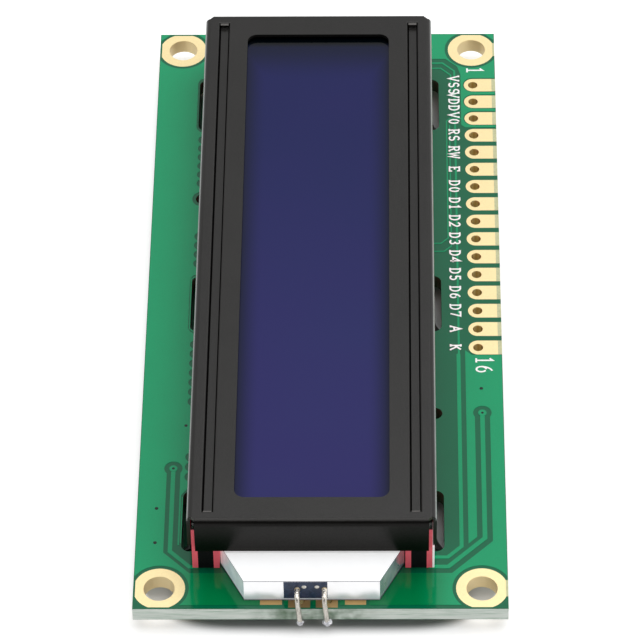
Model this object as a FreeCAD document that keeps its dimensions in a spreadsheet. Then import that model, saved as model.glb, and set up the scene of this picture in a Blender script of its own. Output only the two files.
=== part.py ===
# Character LCD module: two lines of sixteen characters behind a stamped bezel, on a small circuit board.
# Frame: millimetres, +X along the module towards the backlight's lamp, +Y towards the header row,
# +Z out of the display. The origin lies on the board's display face, midway between the mounting holes.
import FreeCAD, Part
import math
import os
import Sketcher

doc = FreeCAD.newDocument("character_lcd_module")
sizes = doc.addObject("Spreadsheet::Sheet", "sizes")

DRIVING_SIZES = (
    # laminate board and its copper
    ("board_length", 80.0),
    ("board_width", 36.0),
    ("board_thickness", 1.6),
    ("foil_thickness", 0.05),
    ("mount_inset", 2.5),
    ("mount_hole", 3.0),
    ("mount_pad", 5.0),
    ("mount_pad_margin", 0.2),
    ("pin_count", 16),
    ("pin_pitch", 2.54),
    ("pin_hole", 1.0),
    ("pin_pad_width", 1.9),
    ("pin_pad_margin", 0.4),
    ("pin_end_inset", 8.0),
    ("pin_edge_inset", 2.4),
    # stamped bezel: bare board left at its ends, on the header's side and on the foot's side
    ("end_margin", 4.6),
    ("header_margin", 6.85),
    ("foot_margin", 5.25),
    ("bezel_height", 7.3),
    ("sheet_thickness", 0.35),
    ("bend_radius", 0.6),
    ("skirt_lift", 3.1),
    ("window_end_rim", 3.2),
    ("window_side_rim", 4.5),
    ("window_corner", 1.0),
    ("groove_end_rim", 1.4),
    ("groove_side_rim", 2.0),
    ("groove_width", 1.05),
    ("groove_depth", 0.45),
    ("groove_edge", 0.12),
    ("notch_length", 0.45),
    ("notch_width", 0.75),
    ("notch_slant", 0.3),
    ("tab_end_inset", 6.4),
    ("tab_width", 4.2),
    ("tab_reach", 1.5),
    ("tab_twist", 36.0),
    ("slot_length", 7.7),
    ("slot_width", 1.6),
    ("slot_outset", 0.175),
    ("tooling_hole", 1.5),
    ("tooling_reach", 15.0),
    # liquid crystal cell
    ("glass_thickness", 0.7),
    ("glass_end_gap", 0.25),
    ("glass_side_gap", 0.15),
    ("cell_gap", 0.05),
    ("seal_width", 1.0),
    ("seal_inset", 0.6),
    ("polarizer_thickness", 0.2),
    ("polarizer_inset", 1.2),
    ("polarizer_overlap", 1.45),
    # elastomer contact strips under the ledges of the front glass
    ("strip_width", 2.6),
    ("strip_core", 1.5),
    ("strip_end_gap", 0.15),
    ("strip_side_gap", 0.05),
    ("shim_thickness", 0.2),
    ("shim_length", 3.2),
    # edge-lit backlight
    ("tail_height", 2.8),
    ("film_thickness", 0.1),
    ("diffuser_thickness", 0.2),
    ("guide_end_gap", 0.45),
    ("taper_gap", 0.65),
    ("tail_setback", 1.1),
    ("tail_width", 13.0),
    ("guide_side_gap", 0.1),
    ("film_edge_gap", 0.05),
    ("frame_wall", 0.9),
    ("lamp_width", 4.2),
    ("lamp_depth", 1.1),
    ("lamp_shift", -0.6),
    ("lamp_lift", 0.26),
    ("lead_diameter", 0.5),
    ("lead_spread", 2.6),
    ("lead_shift", -0.1),
    ("lead_height", 1.7),
    ("lead_bend", 0.6),
    ("lead_edge_gap", 0.12),
    ("lead_overhang", 0.2),
    ("lead_lean", 4.5),
    ("solder_width", 1.0),
    ("solder_tip", 0.56),
    ("solder_height", 0.55),
    ("solder_drop", 0.4),
    ("lamp_pad_width", 2.1),
    ("lamp_pad_pitch", 2.64),
    ("lamp_pad_margin", 0.15),
    ("lamp_pad_length", 2.1),
    ("lamp_pad_shift", 0.2),
    ("lamp_pad_hole", 1.1),
    ("test_pad_pitch", 8.05),
    ("test_pad_margin", 0.5),
    # parts on the back of the board
    ("controller_diameter", 15.0),
    ("driver_diameter", 13.0),
    ("blob_height", 1.35),
    ("blob_rim", 0.45),
    ("controller_end_inset", 26.0),
    ("driver_end_inset", 26.5),
    ("blob_y", -1.5),
    ("chip_length", 2.0),
    ("chip_width", 1.25),
    ("chip_cap", 0.35),
    ("resistor_height", 0.5),
    ("resistor_count", 6),
    ("resistor_pitch", 2.6),
    ("resistor_end_inset", 10.0),
    ("resistor_edge_inset", 9.5),
    ("capacitor_height", 0.8),
    ("capacitor_count", 3),
    ("capacitor_pitch", 3.4),
    ("capacitor_end_inset", 17.5),
    ("capacitor_edge_inset", 11.5),
)
for row, (alias, number) in enumerate(DRIVING_SIZES, start=1):
    sizes.set("A%d" % row, alias.replace("_", " "))
    sizes.set("B%d" % row, str(number))
    sizes.setAlias("B%d" % row, alias)
doc.recompute()

# Levels worked out from the driving sizes, as expressions
GLASS_TOP = "(sizes.bezel_height - sizes.groove_depth - sizes.sheet_thickness)"
LEDGE = "(%s - sizes.glass_thickness)" % GLASS_TOP
REAR_GLASS_BASE = "(%s - sizes.cell_gap - sizes.glass_thickness)" % LEDGE
REAR_POLARIZER_BASE = "(%s - sizes.polarizer_thickness)" % REAR_GLASS_BASE
GUIDE_TOP = "(sizes.tail_height - sizes.film_thickness)"
FRAME_BASE = "(%s + sizes.diffuser_thickness)" % GUIDE_TOP
PLATE_UNDERSIDE = "(sizes.bezel_height - sizes.sheet_thickness)"
BOARD_BACK = "(-sizes.board_thickness)"

# Bezel, window and grooves, from the board's outline; the display line runs along the bezel's middle
BEZEL_LENGTH = "(sizes.board_length - 2 * sizes.end_margin)"
BEZEL_WIDTH = "(sizes.board_width - sizes.header_margin - sizes.foot_margin)"
DISPLAY_LINE = "((sizes.foot_margin - sizes.header_margin) / 2)"
WINDOW_LENGTH = "(%s - 2 * sizes.window_end_rim)" % BEZEL_LENGTH
WINDOW_WIDTH = "(%s - 2 * sizes.window_side_rim)" % BEZEL_WIDTH
GROOVE_LINE = "(%s / 2 - sizes.groove_side_rim)" % BEZEL_WIDTH
TAB_PITCH = "(%s / 2 - sizes.tab_end_inset)" % BEZEL_LENGTH

# Widths across the display line
BEZEL_INNER_HALF = "(%s / 2 - sizes.sheet_thickness)" % BEZEL_WIDTH
STRIP_OUTER = "(%s - sizes.strip_side_gap)" % BEZEL_INNER_HALF
STRIP_INNER = "(%s - sizes.strip_width)" % STRIP_OUTER
WRAP_HALF = "(%s - sizes.guide_side_gap)" % STRIP_INNER
SLOT_LINE = "(%s / 2 - sizes.sheet_thickness / 2 + sizes.slot_outset)" % BEZEL_WIDTH

# Places along the display line
FLANGE_INNER = "(%s / 2 - sizes.sheet_thickness)" % BEZEL_LENGTH
GLASS_LENGTH = "(2 * (%s - sizes.glass_end_gap))" % FLANGE_INNER
STRIP_END = "(%s - sizes.strip_end_gap)" % FLANGE_INNER
GUIDE_BACK = "(%s - sizes.guide_end_gap)" % FLANGE_INNER
TAPER_START = "(%s - sizes.taper_gap)" % FLANGE_INNER
TAIL_FRONT = "(sizes.board_length / 2 - sizes.tail_setback)"

# Mounting holes, header row and lamp pads
MOUNT_X = "(sizes.board_length / 2 - sizes.mount_inset)"
MOUNT_Y = "(sizes.board_width / 2 - sizes.mount_inset)"
PIN_X = "(-sizes.board_length / 2 + sizes.pin_end_inset)"
PIN_Y = "(sizes.board_width / 2 - sizes.pin_edge_inset)"
PIN_SPAN = "sizes.pin_pitch * (sizes.pin_count - 1)"
LEAD_LINE = "(%s + sizes.lead_shift)" % DISPLAY_LINE
LAMP_PAD_MIDDLE = "(%s + sizes.lamp_pad_shift)" % LEAD_LINE
LAMP_PAD_LINES = ("(%s - sizes.lamp_pad_pitch / 2)" % LAMP_PAD_MIDDLE,
                  "(%s + sizes.lamp_pad_pitch / 2)" % LAMP_PAD_MIDDLE)
TEST_PAD_LINES = ("(%s - sizes.test_pad_pitch / 2)" % LAMP_PAD_MIDDLE,
                  "(%s + sizes.test_pad_pitch / 2)" % LAMP_PAD_MIDDLE)


# Two points nearer than this are one point
TOUCH = 1e-6


def value(expression):
    """The number that an expression gives now."""
    result = sizes.evalExpression(expression)
    return float(getattr(result, "Value", result))


def bind(thing, **expressions):
    """Tie properties to expressions; a double underscore stands for a dot in the name."""
    for name, expression in expressions.items():
        thing.setExpression(name.replace("__", "."), expression)


def new_body(name, x="0", y="0", z="0"):
    body = doc.addObject("PartDesign::Body", name)
    body.Label = name
    bind(body, Placement__Base__x=x, Placement__Base__y=y, Placement__Base__z=z)
    return body


def origin_part(body, role):
    return [part for part in body.Origin.OriginFeatures if part.Role == role][0]


def new_sketch(body, name, z="0", plane="XY_Plane"):
    sketch = body.newObject("Sketcher::SketchObject", name)
    sketch.AttachmentSupport = [(origin_part(body, plane), "")]
    sketch.MapMode = "FlatFace"
    bind(sketch, AttachmentOffset__Base__z=z)
    return sketch


def pin_down(sketch, kind, geometry, point, expression):
    """Hold one coordinate of a sketch point at an expression."""
    label = "%s_%d_%d" % (kind, geometry, point)
    number = value(expression)
    if expression == "0":
        axis = -2 if kind == "DistanceX" else -1
        sketch.addConstraint(Sketcher.Constraint("PointOnObject", geometry, point, axis))
        return
    index = sketch.addConstraint(Sketcher.Constraint(kind, -1, 1, geometry, point, number))
    sketch.renameConstraint(index, label)
    sketch.setExpression("Constraints." + label, expression)


def outline(sketch, corners, arcs=None):
    """Closed anticlockwise loop through corners; an arc gives its centre and the axis that is held."""
    arcs = arcs or {}
    points = [FreeCAD.Vector(value(x), value(y), 0) for x, y in corners]
    first = sketch.GeometryCount
    count = len(points)
    for number, start in enumerate(points):
        end = points[(number + 1) % count]
        if number in arcs:
            centre_x, centre_y, held = arcs[number]
            centre = FreeCAD.Vector(value(centre_x), value(centre_y), 0)
            start_angle = math.atan2(start.y - centre.y, start.x - centre.x)
            end_angle = math.atan2(end.y - centre.y, end.x - centre.x)
            if end_angle < start_angle:
                end_angle += 2 * math.pi
            circle_line = Part.Circle(centre, FreeCAD.Vector(0, 0, 1), start.distanceToPoint(centre))
            sketch.addGeometry(Part.ArcOfCircle(circle_line, start_angle, end_angle))
        else:
            sketch.addGeometry(Part.LineSegment(start, end))
    for number in range(count):
        following = first + (number + 1) % count
        sketch.addConstraint(Sketcher.Constraint("Coincident", first + number, 2, following, 1))
    for number, (x, y) in enumerate(corners):
        pin_down(sketch, "DistanceX", first + number, 1, x)
        pin_down(sketch, "DistanceY", first + number, 1, y)
    for number, (centre_x, centre_y, held) in arcs.items():
        if held == "x":
            pin_down(sketch, "DistanceX", first + number, 3, centre_x)
        else:
            pin_down(sketch, "DistanceY", first + number, 3, centre_y)


def rectangle(sketch, x_low, x_high, y_low, y_high):
    outline(sketch, [(x_low, y_low), (x_high, y_low), (x_high, y_high), (x_low, y_high)])


def centred_rectangle(sketch, length, width):
    half_length = "(%s) / 2" % length
    half_width = "(%s) / 2" % width
    rectangle(sketch, "-" + half_length, half_length, "-" + half_width, half_width)


def circle(sketch, x, y, diameter):
    centre = FreeCAD.Vector(value(x), value(y), 0)
    normal = FreeCAD.Vector(0, 0, 1)
    number = sketch.addGeometry(Part.Circle(centre, normal, value(diameter) / 2))
    pin_down(sketch, "DistanceX", number, 3, x)
    pin_down(sketch, "DistanceY", number, 3, y)
    index = sketch.addConstraint(Sketcher.Constraint("Diameter", number, value(diameter)))
    label = "diameter_%d" % number
    sketch.renameConstraint(index, label)
    sketch.setExpression("Constraints." + label, diameter)


def pad(body, sketch, name, height):
    """Raise the sketch by a height; a body's tip moves with it."""
    feature = body.newObject("PartDesign::Pad", name)
    feature.Profile = sketch
    bind(feature, Length=height)
    sketch.Visibility = False
    return feature


def pocket(body, sketch, name, depth):
    """Cut straight down from the sketch by a depth."""
    feature = body.newObject("PartDesign::Pocket", name)
    feature.Profile = sketch
    bind(feature, Length=depth)
    sketch.Visibility = False
    return feature


def row_of(body, name, originals, axis, length, copies):
    pattern = body.newObject("PartDesign::LinearPattern", name)
    pattern.Originals = originals
    pattern.Direction = (origin_part(body, axis), [""])
    bind(pattern, Length=length, Occurrences=copies)
    body.Tip = pattern
    return pattern


def grid_of(body, name, originals, length, copies, length_across, copies_across):
    pattern = row_of(body, name, originals, "X_Axis", length, copies)
    pattern.Direction2 = (origin_part(body, "Y_Axis"), [""])
    bind(pattern, Length2=length_across, Occurrences2=copies_across)
    return pattern


def mirror_step(body, name, plane):
    mirrored = body.newObject("PartDesign::Mirrored", name)
    mirrored.MirrorPlane = (origin_part(body, plane), [""])
    return mirrored


def mirror_of(body, name, originals, plane):
    mirrored = mirror_step(body, name, plane)
    mirrored.Originals = originals
    body.Tip = mirrored
    return mirrored


def copies_of(body, name, originals, steps):
    """Copy features through several mirrors or rows, one after another."""
    copies = body.newObject("PartDesign::MultiTransform", name)
    copies.Originals = originals
    copies.Transformations = steps
    body.Tip = copies
    return copies


def plate(name, length, width, thickness, base, x="0"):
    """A flat rectangular piece on the display line, with its underside at a base level."""
    body = new_body(name, x=x, y=DISPLAY_LINE, z=base)
    sketch = new_sketch(body, name + "_outline")
    centred_rectangle(sketch, length, width)
    pad(body, sketch, name + "_sheet", thickness)
    return body


def ring(name, length, width, border, height, base, x="0"):
    """A flat rectangular frame of one border width on the display line."""
    body = plate(name, length, width, height, base, x=x)
    opening = new_sketch(body, name + "_opening", z=height)
    centred_rectangle(opening, "%s - 2 * %s" % (length, border), "%s - 2 * %s" % (width, border))
    pocket(body, opening, name + "_cutout", height)
    return body


def cut(name, base, tool):
    feature = doc.addObject("Part::Cut", name)
    feature.Label = name
    feature.Base = base
    feature.Tool = tool
    return feature


def board_blank():
    """Laminate with four mounting holes, the header row, six tab slots and two tooling holes."""
    body = new_body("board_blank")
    edge = new_sketch(body, "board_edge", z=BOARD_BACK)
    centred_rectangle(edge, "sizes.board_length", "sizes.board_width")
    pad(body, edge, "laminate", "sizes.board_thickness")

    corner = new_sketch(body, "mount_corner")
    circle(corner, "-" + MOUNT_X, "-" + MOUNT_Y, "sizes.mount_hole")
    corner_hole = pocket(body, corner, "mount_hole_cut", "sizes.board_thickness")
    grid_of(body, "mount_holes", [corner_hole], "2 * " + MOUNT_X, "2", "2 * " + MOUNT_Y, "2")

    first_pin = new_sketch(body, "first_pin")
    circle(first_pin, PIN_X, PIN_Y, "sizes.pin_hole")
    pin_cut = pocket(body, first_pin, "pin_hole_cut", "sizes.board_thickness")
    row_of(body, "pin_holes", [pin_cut], "X_Axis", PIN_SPAN, "sizes.pin_count")

    slot = new_sketch(body, "tab_slot")
    centre_y = "(%s - %s)" % (DISPLAY_LINE, SLOT_LINE)
    reach = "(sizes.slot_length / 2 - sizes.slot_width / 2)"
    west = "(-%s - %s)" % (TAB_PITCH, reach)
    east = "(-%s + %s)" % (TAB_PITCH, reach)
    south = "(%s - sizes.slot_width / 2)" % centre_y
    north = "(%s + sizes.slot_width / 2)" % centre_y
    outline(slot, [(west, south), (east, south), (east, north), (west, north)],
            {1: (east, centre_y, "x"), 3: (west, centre_y, "x")})
    slot_cut = pocket(body, slot, "tab_slot_cut", "sizes.board_thickness")
    grid_of(body, "tab_slots", [slot_cut], "2 * " + TAB_PITCH, "3", "2 * " + SLOT_LINE, "2")

    tooling = new_sketch(body, "tooling_spots")
    circle(tooling, "-sizes.tooling_reach", centre_y, "sizes.tooling_hole")
    circle(tooling, "sizes.tooling_reach", "(%s + %s)" % (DISPLAY_LINE, SLOT_LINE), "sizes.tooling_hole")
    pocket(body, tooling, "tooling_holes", "sizes.board_thickness")

    lamp = new_sketch(body, "lamp_holes")
    for side in LAMP_PAD_LINES:
        circle(lamp, TAIL_FRONT, side, "sizes.lamp_pad_hole")
    pocket(body, lamp, "lamp_hole_cut", "sizes.board_thickness")
    return body


def mounting_pads():
    """Four plated mounting holes: a ring on each face joined by a thin sleeve."""
    body = new_body("mount_rings", x="-" + MOUNT_X, y="-" + MOUNT_Y)
    profile = new_sketch(body, "ring_profile", plane="XZ_Plane")
    inner = "(sizes.mount_hole / 2)"
    sleeve = "(sizes.mount_hole / 2 + sizes.foil_thickness)"
    outer = "(sizes.mount_pad / 2)"
    low = "(-sizes.board_thickness + sizes.foil_thickness)"
    high = "(-sizes.foil_thickness)"
    outline(profile, [(inner, BOARD_BACK), (outer, BOARD_BACK), (outer, low), (sleeve, low),
                      (sleeve, high), (outer, high), (outer, "0"), (inner, "0")])
    turned = body.newObject("PartDesign::Revolution", "mount_ring")
    turned.Profile = profile
    turned.ReferenceAxis = (origin_part(body, "Z_Axis"), [""])
    turned.Angle = 360
    profile.Visibility = False
    grid_of(body, "mount_ring_grid", [turned], "2 * " + MOUNT_X, "2", "2 * " + MOUNT_Y, "2")

    field = doc.addObject("Part::Box", "mount_pad_field")
    margin = "2 * sizes.mount_pad_margin"
    bind(field, Length="sizes.board_length - " + margin, Width="sizes.board_width - " + margin,
         Height="sizes.board_thickness",
         Placement__Base__x="-sizes.board_length / 2 + sizes.mount_pad_margin",
         Placement__Base__y="-sizes.board_width / 2 + sizes.mount_pad_margin", Placement__Base__z=BOARD_BACK)
    trimmed = doc.addObject("Part::Common", "mounting_pads")
    trimmed.Label = "mounting_pads"
    trimmed.Base = body
    trimmed.Tool = field
    return trimmed


def header_pads():
    """Sixteen plated header holes with pads that are round inside and run out to the board's edge."""
    body = new_body("header_pads", x=PIN_X, y=PIN_Y)
    half = "(sizes.pin_pad_width / 2)"
    edge = "(sizes.pin_edge_inset - sizes.pin_pad_margin)"
    features = []
    levels = (("top", "-sizes.foil_thickness"), ("back", BOARD_BACK))
    for side, level in levels:
        sketch = new_sketch(body, side + "_pad_outline", z=level)
        outline(sketch, [(half, "0"), (half, edge), ("-" + half, edge), ("-" + half, "0")],
                {3: ("0", "0", "y")})
        features.append(pad(body, sketch, side + "_pad", "sizes.foil_thickness"))
    sleeve = new_sketch(body, "sleeve_outline", z=BOARD_BACK)
    circle(sleeve, "0", "0", "sizes.pin_hole + 2 * sizes.foil_thickness")
    features.append(pad(body, sleeve, "sleeve", "sizes.board_thickness"))
    bore = new_sketch(body, "bore_outline")
    circle(bore, "0", "0", "sizes.pin_hole")
    features.append(pocket(body, bore, "bore", "sizes.board_thickness"))
    row_of(body, "pad_row", features, "X_Axis", PIN_SPAN, "sizes.pin_count")
    return body


def backlight_pads():
    """Two drilled pads under the lamp's leads, with a plain pad on each side."""
    body = new_body("backlight_pads")
    front = "(sizes.board_length / 2 - sizes.lamp_pad_margin)"
    back = "(%s - sizes.lamp_pad_length)" % front
    foil = new_sketch(body, "lamp_pad_outlines", z="-sizes.foil_thickness")
    for line in LAMP_PAD_LINES:
        rectangle(foil, back, front, "(%s - sizes.lamp_pad_width / 2)" % line,
                  "(%s + sizes.lamp_pad_width / 2)" % line)
    test_front = "(sizes.board_length / 2 - sizes.test_pad_margin)"
    for line in TEST_PAD_LINES:
        rectangle(foil, back, test_front, "(%s - sizes.lamp_pad_width / 2)" % line,
                  "(%s + sizes.lamp_pad_width / 2)" % line)
    pad(body, foil, "lamp_pad_foil", "sizes.foil_thickness")
    sleeve = new_sketch(body, "lamp_sleeves", z=BOARD_BACK)
    bore = new_sketch(body, "lamp_bores")
    for line in LAMP_PAD_LINES:
        circle(sleeve, TAIL_FRONT, line, "sizes.lamp_pad_hole + 2 * sizes.foil_thickness")
        circle(bore, TAIL_FRONT, line, "sizes.lamp_pad_hole")
    pad(body, sleeve, "lamp_sleeve", "sizes.board_thickness")
    pocket(body, bore, "lamp_bore", "sizes.board_thickness")
    return body


def edges_near(shape, test):
    """Names of the edges whose middle point passes a test."""
    names = []
    for number, edge in enumerate(shape.Edges, start=1):
        low, high = edge.ParameterRange
        if test(edge.valueAt((low + high) / 2)):
            names.append("Edge%d" % number)
    return names


def fillet(body, name, base, edge_names, radius):
    feature = body.newObject("PartDesign::Fillet", name)
    feature.Base = (base, edge_names)
    bind(feature, Radius=radius)
    return feature


def folded_pan(body):
    """Pan with rounded folds, open below, whose skirts stop short of the board."""
    rim = new_sketch(body, "pan_outline", z="sizes.skirt_lift")
    centred_rectangle(rim, BEZEL_LENGTH, BEZEL_WIDTH)
    block = pad(body, rim, "pan_block", "sizes.bezel_height - sizes.skirt_lift")
    doc.recompute()
    top = value("sizes.bezel_height")
    rim_edges = edges_near(block.Shape, lambda middle: abs(middle.z - top) < TOUCH)
    folded = fillet(body, "folds", block, rim_edges, "sizes.bend_radius")
    doc.recompute()
    lift = value("sizes.skirt_lift")
    open_face = ["Face%d" % number for number, face in enumerate(folded.Shape.Faces, start=1)
                 if abs(face.CenterOfMass.z - lift) < TOUCH]
    pan = body.newObject("PartDesign::Thickness", "pan")
    pan.Base = (folded, open_face)
    pan.Reversed = True
    pan.Mode = 0
    pan.Join = 0
    bind(pan, Value="sizes.sheet_thickness")
    doc.recompute()


def corner_reliefs(body):
    """Notches that part the end flanges from the side skirts at the four corners."""
    notch = new_sketch(body, "corner_notch", z="sizes.bezel_height")
    outer_x = "(%s / 2 + sizes.sheet_thickness)" % BEZEL_LENGTH
    outer_y = "(%s / 2 + sizes.sheet_thickness)" % BEZEL_WIDTH
    notch_x = "(%s / 2 - sizes.notch_length)" % BEZEL_LENGTH
    notch_y = "(%s / 2 - sizes.notch_width)" % BEZEL_WIDTH
    slant_x = "(%s - sizes.notch_slant)" % notch_x
    slant_y = "(%s + sizes.notch_slant)" % notch_y
    outline(notch, [(outer_x, notch_y), (outer_x, outer_y), (slant_x, outer_y), (slant_x, slant_y),
                    (notch_x, notch_y)])
    corner = pocket(body, notch, "corner_relief", "sizes.bezel_height - sizes.skirt_lift")
    copies_of(body, "corner_reliefs", [corner], [mirror_step(body, "relief_across", "XZ_Plane"),
                                                 mirror_step(body, "relief_along", "YZ_Plane")])


def display_window(body):
    """Rounded window through the top of the pan."""
    opening = new_sketch(body, "window_outline", z="sizes.bezel_height")
    centred_rectangle(opening, WINDOW_LENGTH, WINDOW_WIDTH)
    window = pocket(body, opening, "window", "2 * sizes.sheet_thickness")
    doc.recompute()
    window_x = value(WINDOW_LENGTH) / 2
    window_y = value(WINDOW_WIDTH) / 2
    sharp = edges_near(window.Shape, lambda middle: abs(abs(middle.x) - window_x) < TOUCH
                       and abs(abs(middle.y) - window_y) < TOUCH)
    fillet(body, "window_corners", window, sharp, "sizes.window_corner")


def pressed_grooves(body):
    """Two grooves pressed down until their undersides bear on the front glass."""
    half_x = "(%s / 2 - sizes.groove_end_rim)" % BEZEL_LENGTH
    half_y = "(sizes.groove_width / 2)"
    rib_outline = new_sketch(body, "groove_rib_outline", z=GLASS_TOP)
    rib_x = "(%s + sizes.sheet_thickness)" % half_x
    rib_y = "(%s + sizes.sheet_thickness)" % half_y
    rectangle(rib_outline, "-" + rib_x, rib_x, "(%s - %s)" % (GROOVE_LINE, rib_y),
              "(%s + %s)" % (GROOVE_LINE, rib_y))
    rib = pad(body, rib_outline, "groove_rib",
              "%s - %s + sizes.sheet_thickness / 2" % (PLATE_UNDERSIDE, GLASS_TOP))
    trough = new_sketch(body, "groove_outline", z="sizes.bezel_height")
    rectangle(trough, "-" + half_x, half_x, "(%s - %s)" % (GROOVE_LINE, half_y),
              "(%s + %s)" % (GROOVE_LINE, half_y))
    groove = pocket(body, trough, "groove", "sizes.groove_depth")
    both = mirror_of(body, "grooves", [rib, groove], "XZ_Plane")
    doc.recompute()
    top = value("sizes.bezel_height")
    groove_line = value(GROOVE_LINE)
    reach_x = value(half_x) + TOUCH
    reach_y = value(half_y) + TOUCH
    mouth = edges_near(both.Shape, lambda middle: abs(middle.z - top) < TOUCH
                       and abs(middle.x) < reach_x and abs(abs(middle.y) - groove_line) < reach_y)
    fillet(body, "groove_mouths", both, mouth, "sizes.groove_edge")


def twisted_tabs(body):
    """Six tabs that drop from the skirts through the board's slots and are twisted behind it."""
    outer_y = "(%s / 2)" % BEZEL_WIDTH
    middle_y = "(%s - sizes.sheet_thickness / 2)" % outer_y
    west = "(-%s - sizes.tab_width / 2)" % TAB_PITCH
    east = "(-%s + sizes.tab_width / 2)" % TAB_PITCH
    neck_outline = new_sketch(body, "tab_neck_outline", z=BOARD_BACK)
    rectangle(neck_outline, west, east, BEZEL_INNER_HALF, outer_y)
    neck = pad(body, neck_outline, "tab_neck",
               "sizes.skirt_lift + sizes.board_thickness + sizes.sheet_thickness")
    root = new_sketch(body, "tab_root", z=BOARD_BACK)
    rectangle(root, west, east, BEZEL_INNER_HALF, outer_y)
    end = new_sketch(body, "tab_end")
    quarter = FreeCAD.Rotation(FreeCAD.Vector(0, 0, 1), value("sizes.tab_twist"))
    end.AttachmentOffset = FreeCAD.Placement(FreeCAD.Vector(0, 0, 0), quarter)
    bind(end, AttachmentOffset__Base__x="-" + TAB_PITCH, AttachmentOffset__Base__y=middle_y,
         AttachmentOffset__Base__z="-sizes.board_thickness - sizes.tab_reach",
         AttachmentOffset__Rotation__Angle="sizes.tab_twist")
    centred_rectangle(end, "sizes.tab_width", "sizes.sheet_thickness")
    twist = body.newObject("PartDesign::AdditiveLoft", "tab_twisted_end")
    twist.Profile = root
    twist.Sections = [end]
    doc.recompute()
    along = body.newObject("PartDesign::LinearPattern", "tabs_along")
    along.Direction = (origin_part(body, "X_Axis"), [""])
    bind(along, Length="2 * " + TAB_PITCH, Occurrences="3")
    copies_of(body, "tabs", [neck, twist], [along, mirror_step(body, "tabs_across", "XZ_Plane")])


def bezel():
    """One stamped and folded steel sheet: a pan with a window, two pressed grooves and six twisted tabs."""
    body = new_body("bezel", y=DISPLAY_LINE)
    folded_pan(body)
    corner_reliefs(body)
    display_window(body)
    pressed_grooves(body)
    twisted_tabs(body)
    return body


def strip(name, side, spans):
    """Parts of one elastomer contact strip, each span given across the display line."""
    body = new_body(name, y=DISPLAY_LINE)
    sketch = new_sketch(body, name + "_outline")
    for low, high in spans:
        if side > 0:
            rectangle(sketch, "-" + STRIP_END, STRIP_END, low, high)
        else:
            rectangle(sketch, "-" + STRIP_END, STRIP_END, "-" + high, "-" + low)
    pad(body, sketch, name + "_run", LEDGE)
    return body


def contact_strips():
    """Two strips that join glass and board: a conductive core between soft walls."""
    wall = "((sizes.strip_width - sizes.strip_core) / 2)"
    core_low = "(%s + %s)" % (STRIP_INNER, wall)
    core_high = "(%s - %s)" % (STRIP_OUTER, wall)
    pieces = []
    for word, side in (("upper", 1), ("lower", -1)):
        pieces.append(strip("strip_core_" + word, side, [(core_low, core_high)]))
        pieces.append(strip("strip_walls_" + word, side, [(STRIP_INNER, core_low), (core_high, STRIP_OUTER)]))
    return pieces


def strip_shim():
    """A short white packing piece beside the upper strip's lamp end, below the bezel's skirt."""
    body = new_body("strip_shim", y=DISPLAY_LINE)
    sketch = new_sketch(body, "shim_outline")
    rectangle(sketch, "(%s - sizes.shim_length)" % STRIP_END, STRIP_END, STRIP_OUTER,
              "(%s + sizes.shim_thickness)" % STRIP_OUTER)
    pad(body, sketch, "shim", "sizes.skirt_lift - sizes.strip_side_gap")
    return body


def tail_outline(sketch, inset):
    """The backlight's plan: a long slab that narrows to a tail at the lamp end."""
    half = "(%s - %s)" % (WRAP_HALF, inset)
    tail = "(sizes.tail_width / 2 - %s)" % inset
    back = "(-(%s - %s))" % (GUIDE_BACK, inset)
    front = "(%s - %s)" % (TAIL_FRONT, inset)
    outline(sketch, [(back, "-" + half), (TAPER_START, "-" + half), (front, "-" + tail),
                     (front, tail), (TAPER_START, half), (back, half)])


def lamp_notch(body, name, front):
    """Cut the lamp's pocket into the tail's front, from under the top film to the lip below the lamp."""
    sketch = new_sketch(body, name + "_outline", z=GUIDE_TOP)
    rectangle(sketch, "(%s - sizes.lamp_depth)" % TAIL_FRONT, front,
              "(sizes.lamp_shift - sizes.lamp_width / 2)", "(sizes.lamp_shift + sizes.lamp_width / 2)")
    pocket(body, sketch, name, "%s - sizes.lamp_lift" % GUIDE_TOP)


def light_guide():
    """Clear slab that spreads the lamp's light under the whole display."""
    body = new_body("light_guide", y=DISPLAY_LINE)
    plan = new_sketch(body, "guide_plan", z="sizes.film_thickness")
    tail_outline(plan, "sizes.film_thickness")
    pad(body, plan, "guide_slab", "sizes.tail_height - 2 * sizes.film_thickness")
    lamp_notch(body, "guide_lamp_pocket", TAIL_FRONT)
    return body


def reflector_wrap():
    """White film folded under, around and over the tail of the light guide."""
    body = new_body("reflector_wrap", y=DISPLAY_LINE)
    plan = new_sketch(body, "wrap_plan")
    tail_outline(plan, "0")
    pad(body, plan, "wrap_block", "sizes.tail_height")
    core = new_sketch(body, "wrap_inside", z=GUIDE_TOP)
    tail_outline(core, "sizes.film_thickness")
    pocket(body, core, "wrap_hollow", "%s - sizes.film_thickness" % GUIDE_TOP)
    window = new_sketch(body, "wrap_window", z="sizes.tail_height")
    half = "(%s - sizes.film_thickness)" % WRAP_HALF
    rectangle(window, "-(%s - sizes.film_thickness)" % GUIDE_BACK, TAPER_START, "-" + half, half)
    pocket(body, window, "wrap_top_opening", "sizes.film_thickness")
    lamp_notch(body, "wrap_lamp_pocket", "(%s + sizes.film_thickness)" % TAIL_FRONT)
    return body


def backlight_led():
    """Side-firing lamp block set in the tail's front, under the top film."""
    body = new_body("backlight_led", y=DISPLAY_LINE)
    sketch = new_sketch(body, "lamp_outline", z="sizes.lamp_lift")
    rectangle(sketch, "(%s - sizes.lamp_depth)" % TAIL_FRONT, TAIL_FRONT,
              "(sizes.lamp_shift - sizes.lamp_width / 2)", "(sizes.lamp_shift + sizes.lamp_width / 2)")
    pad(body, sketch, "lamp_block", "%s - sizes.lamp_lift" % GUIDE_TOP)
    return body


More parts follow.
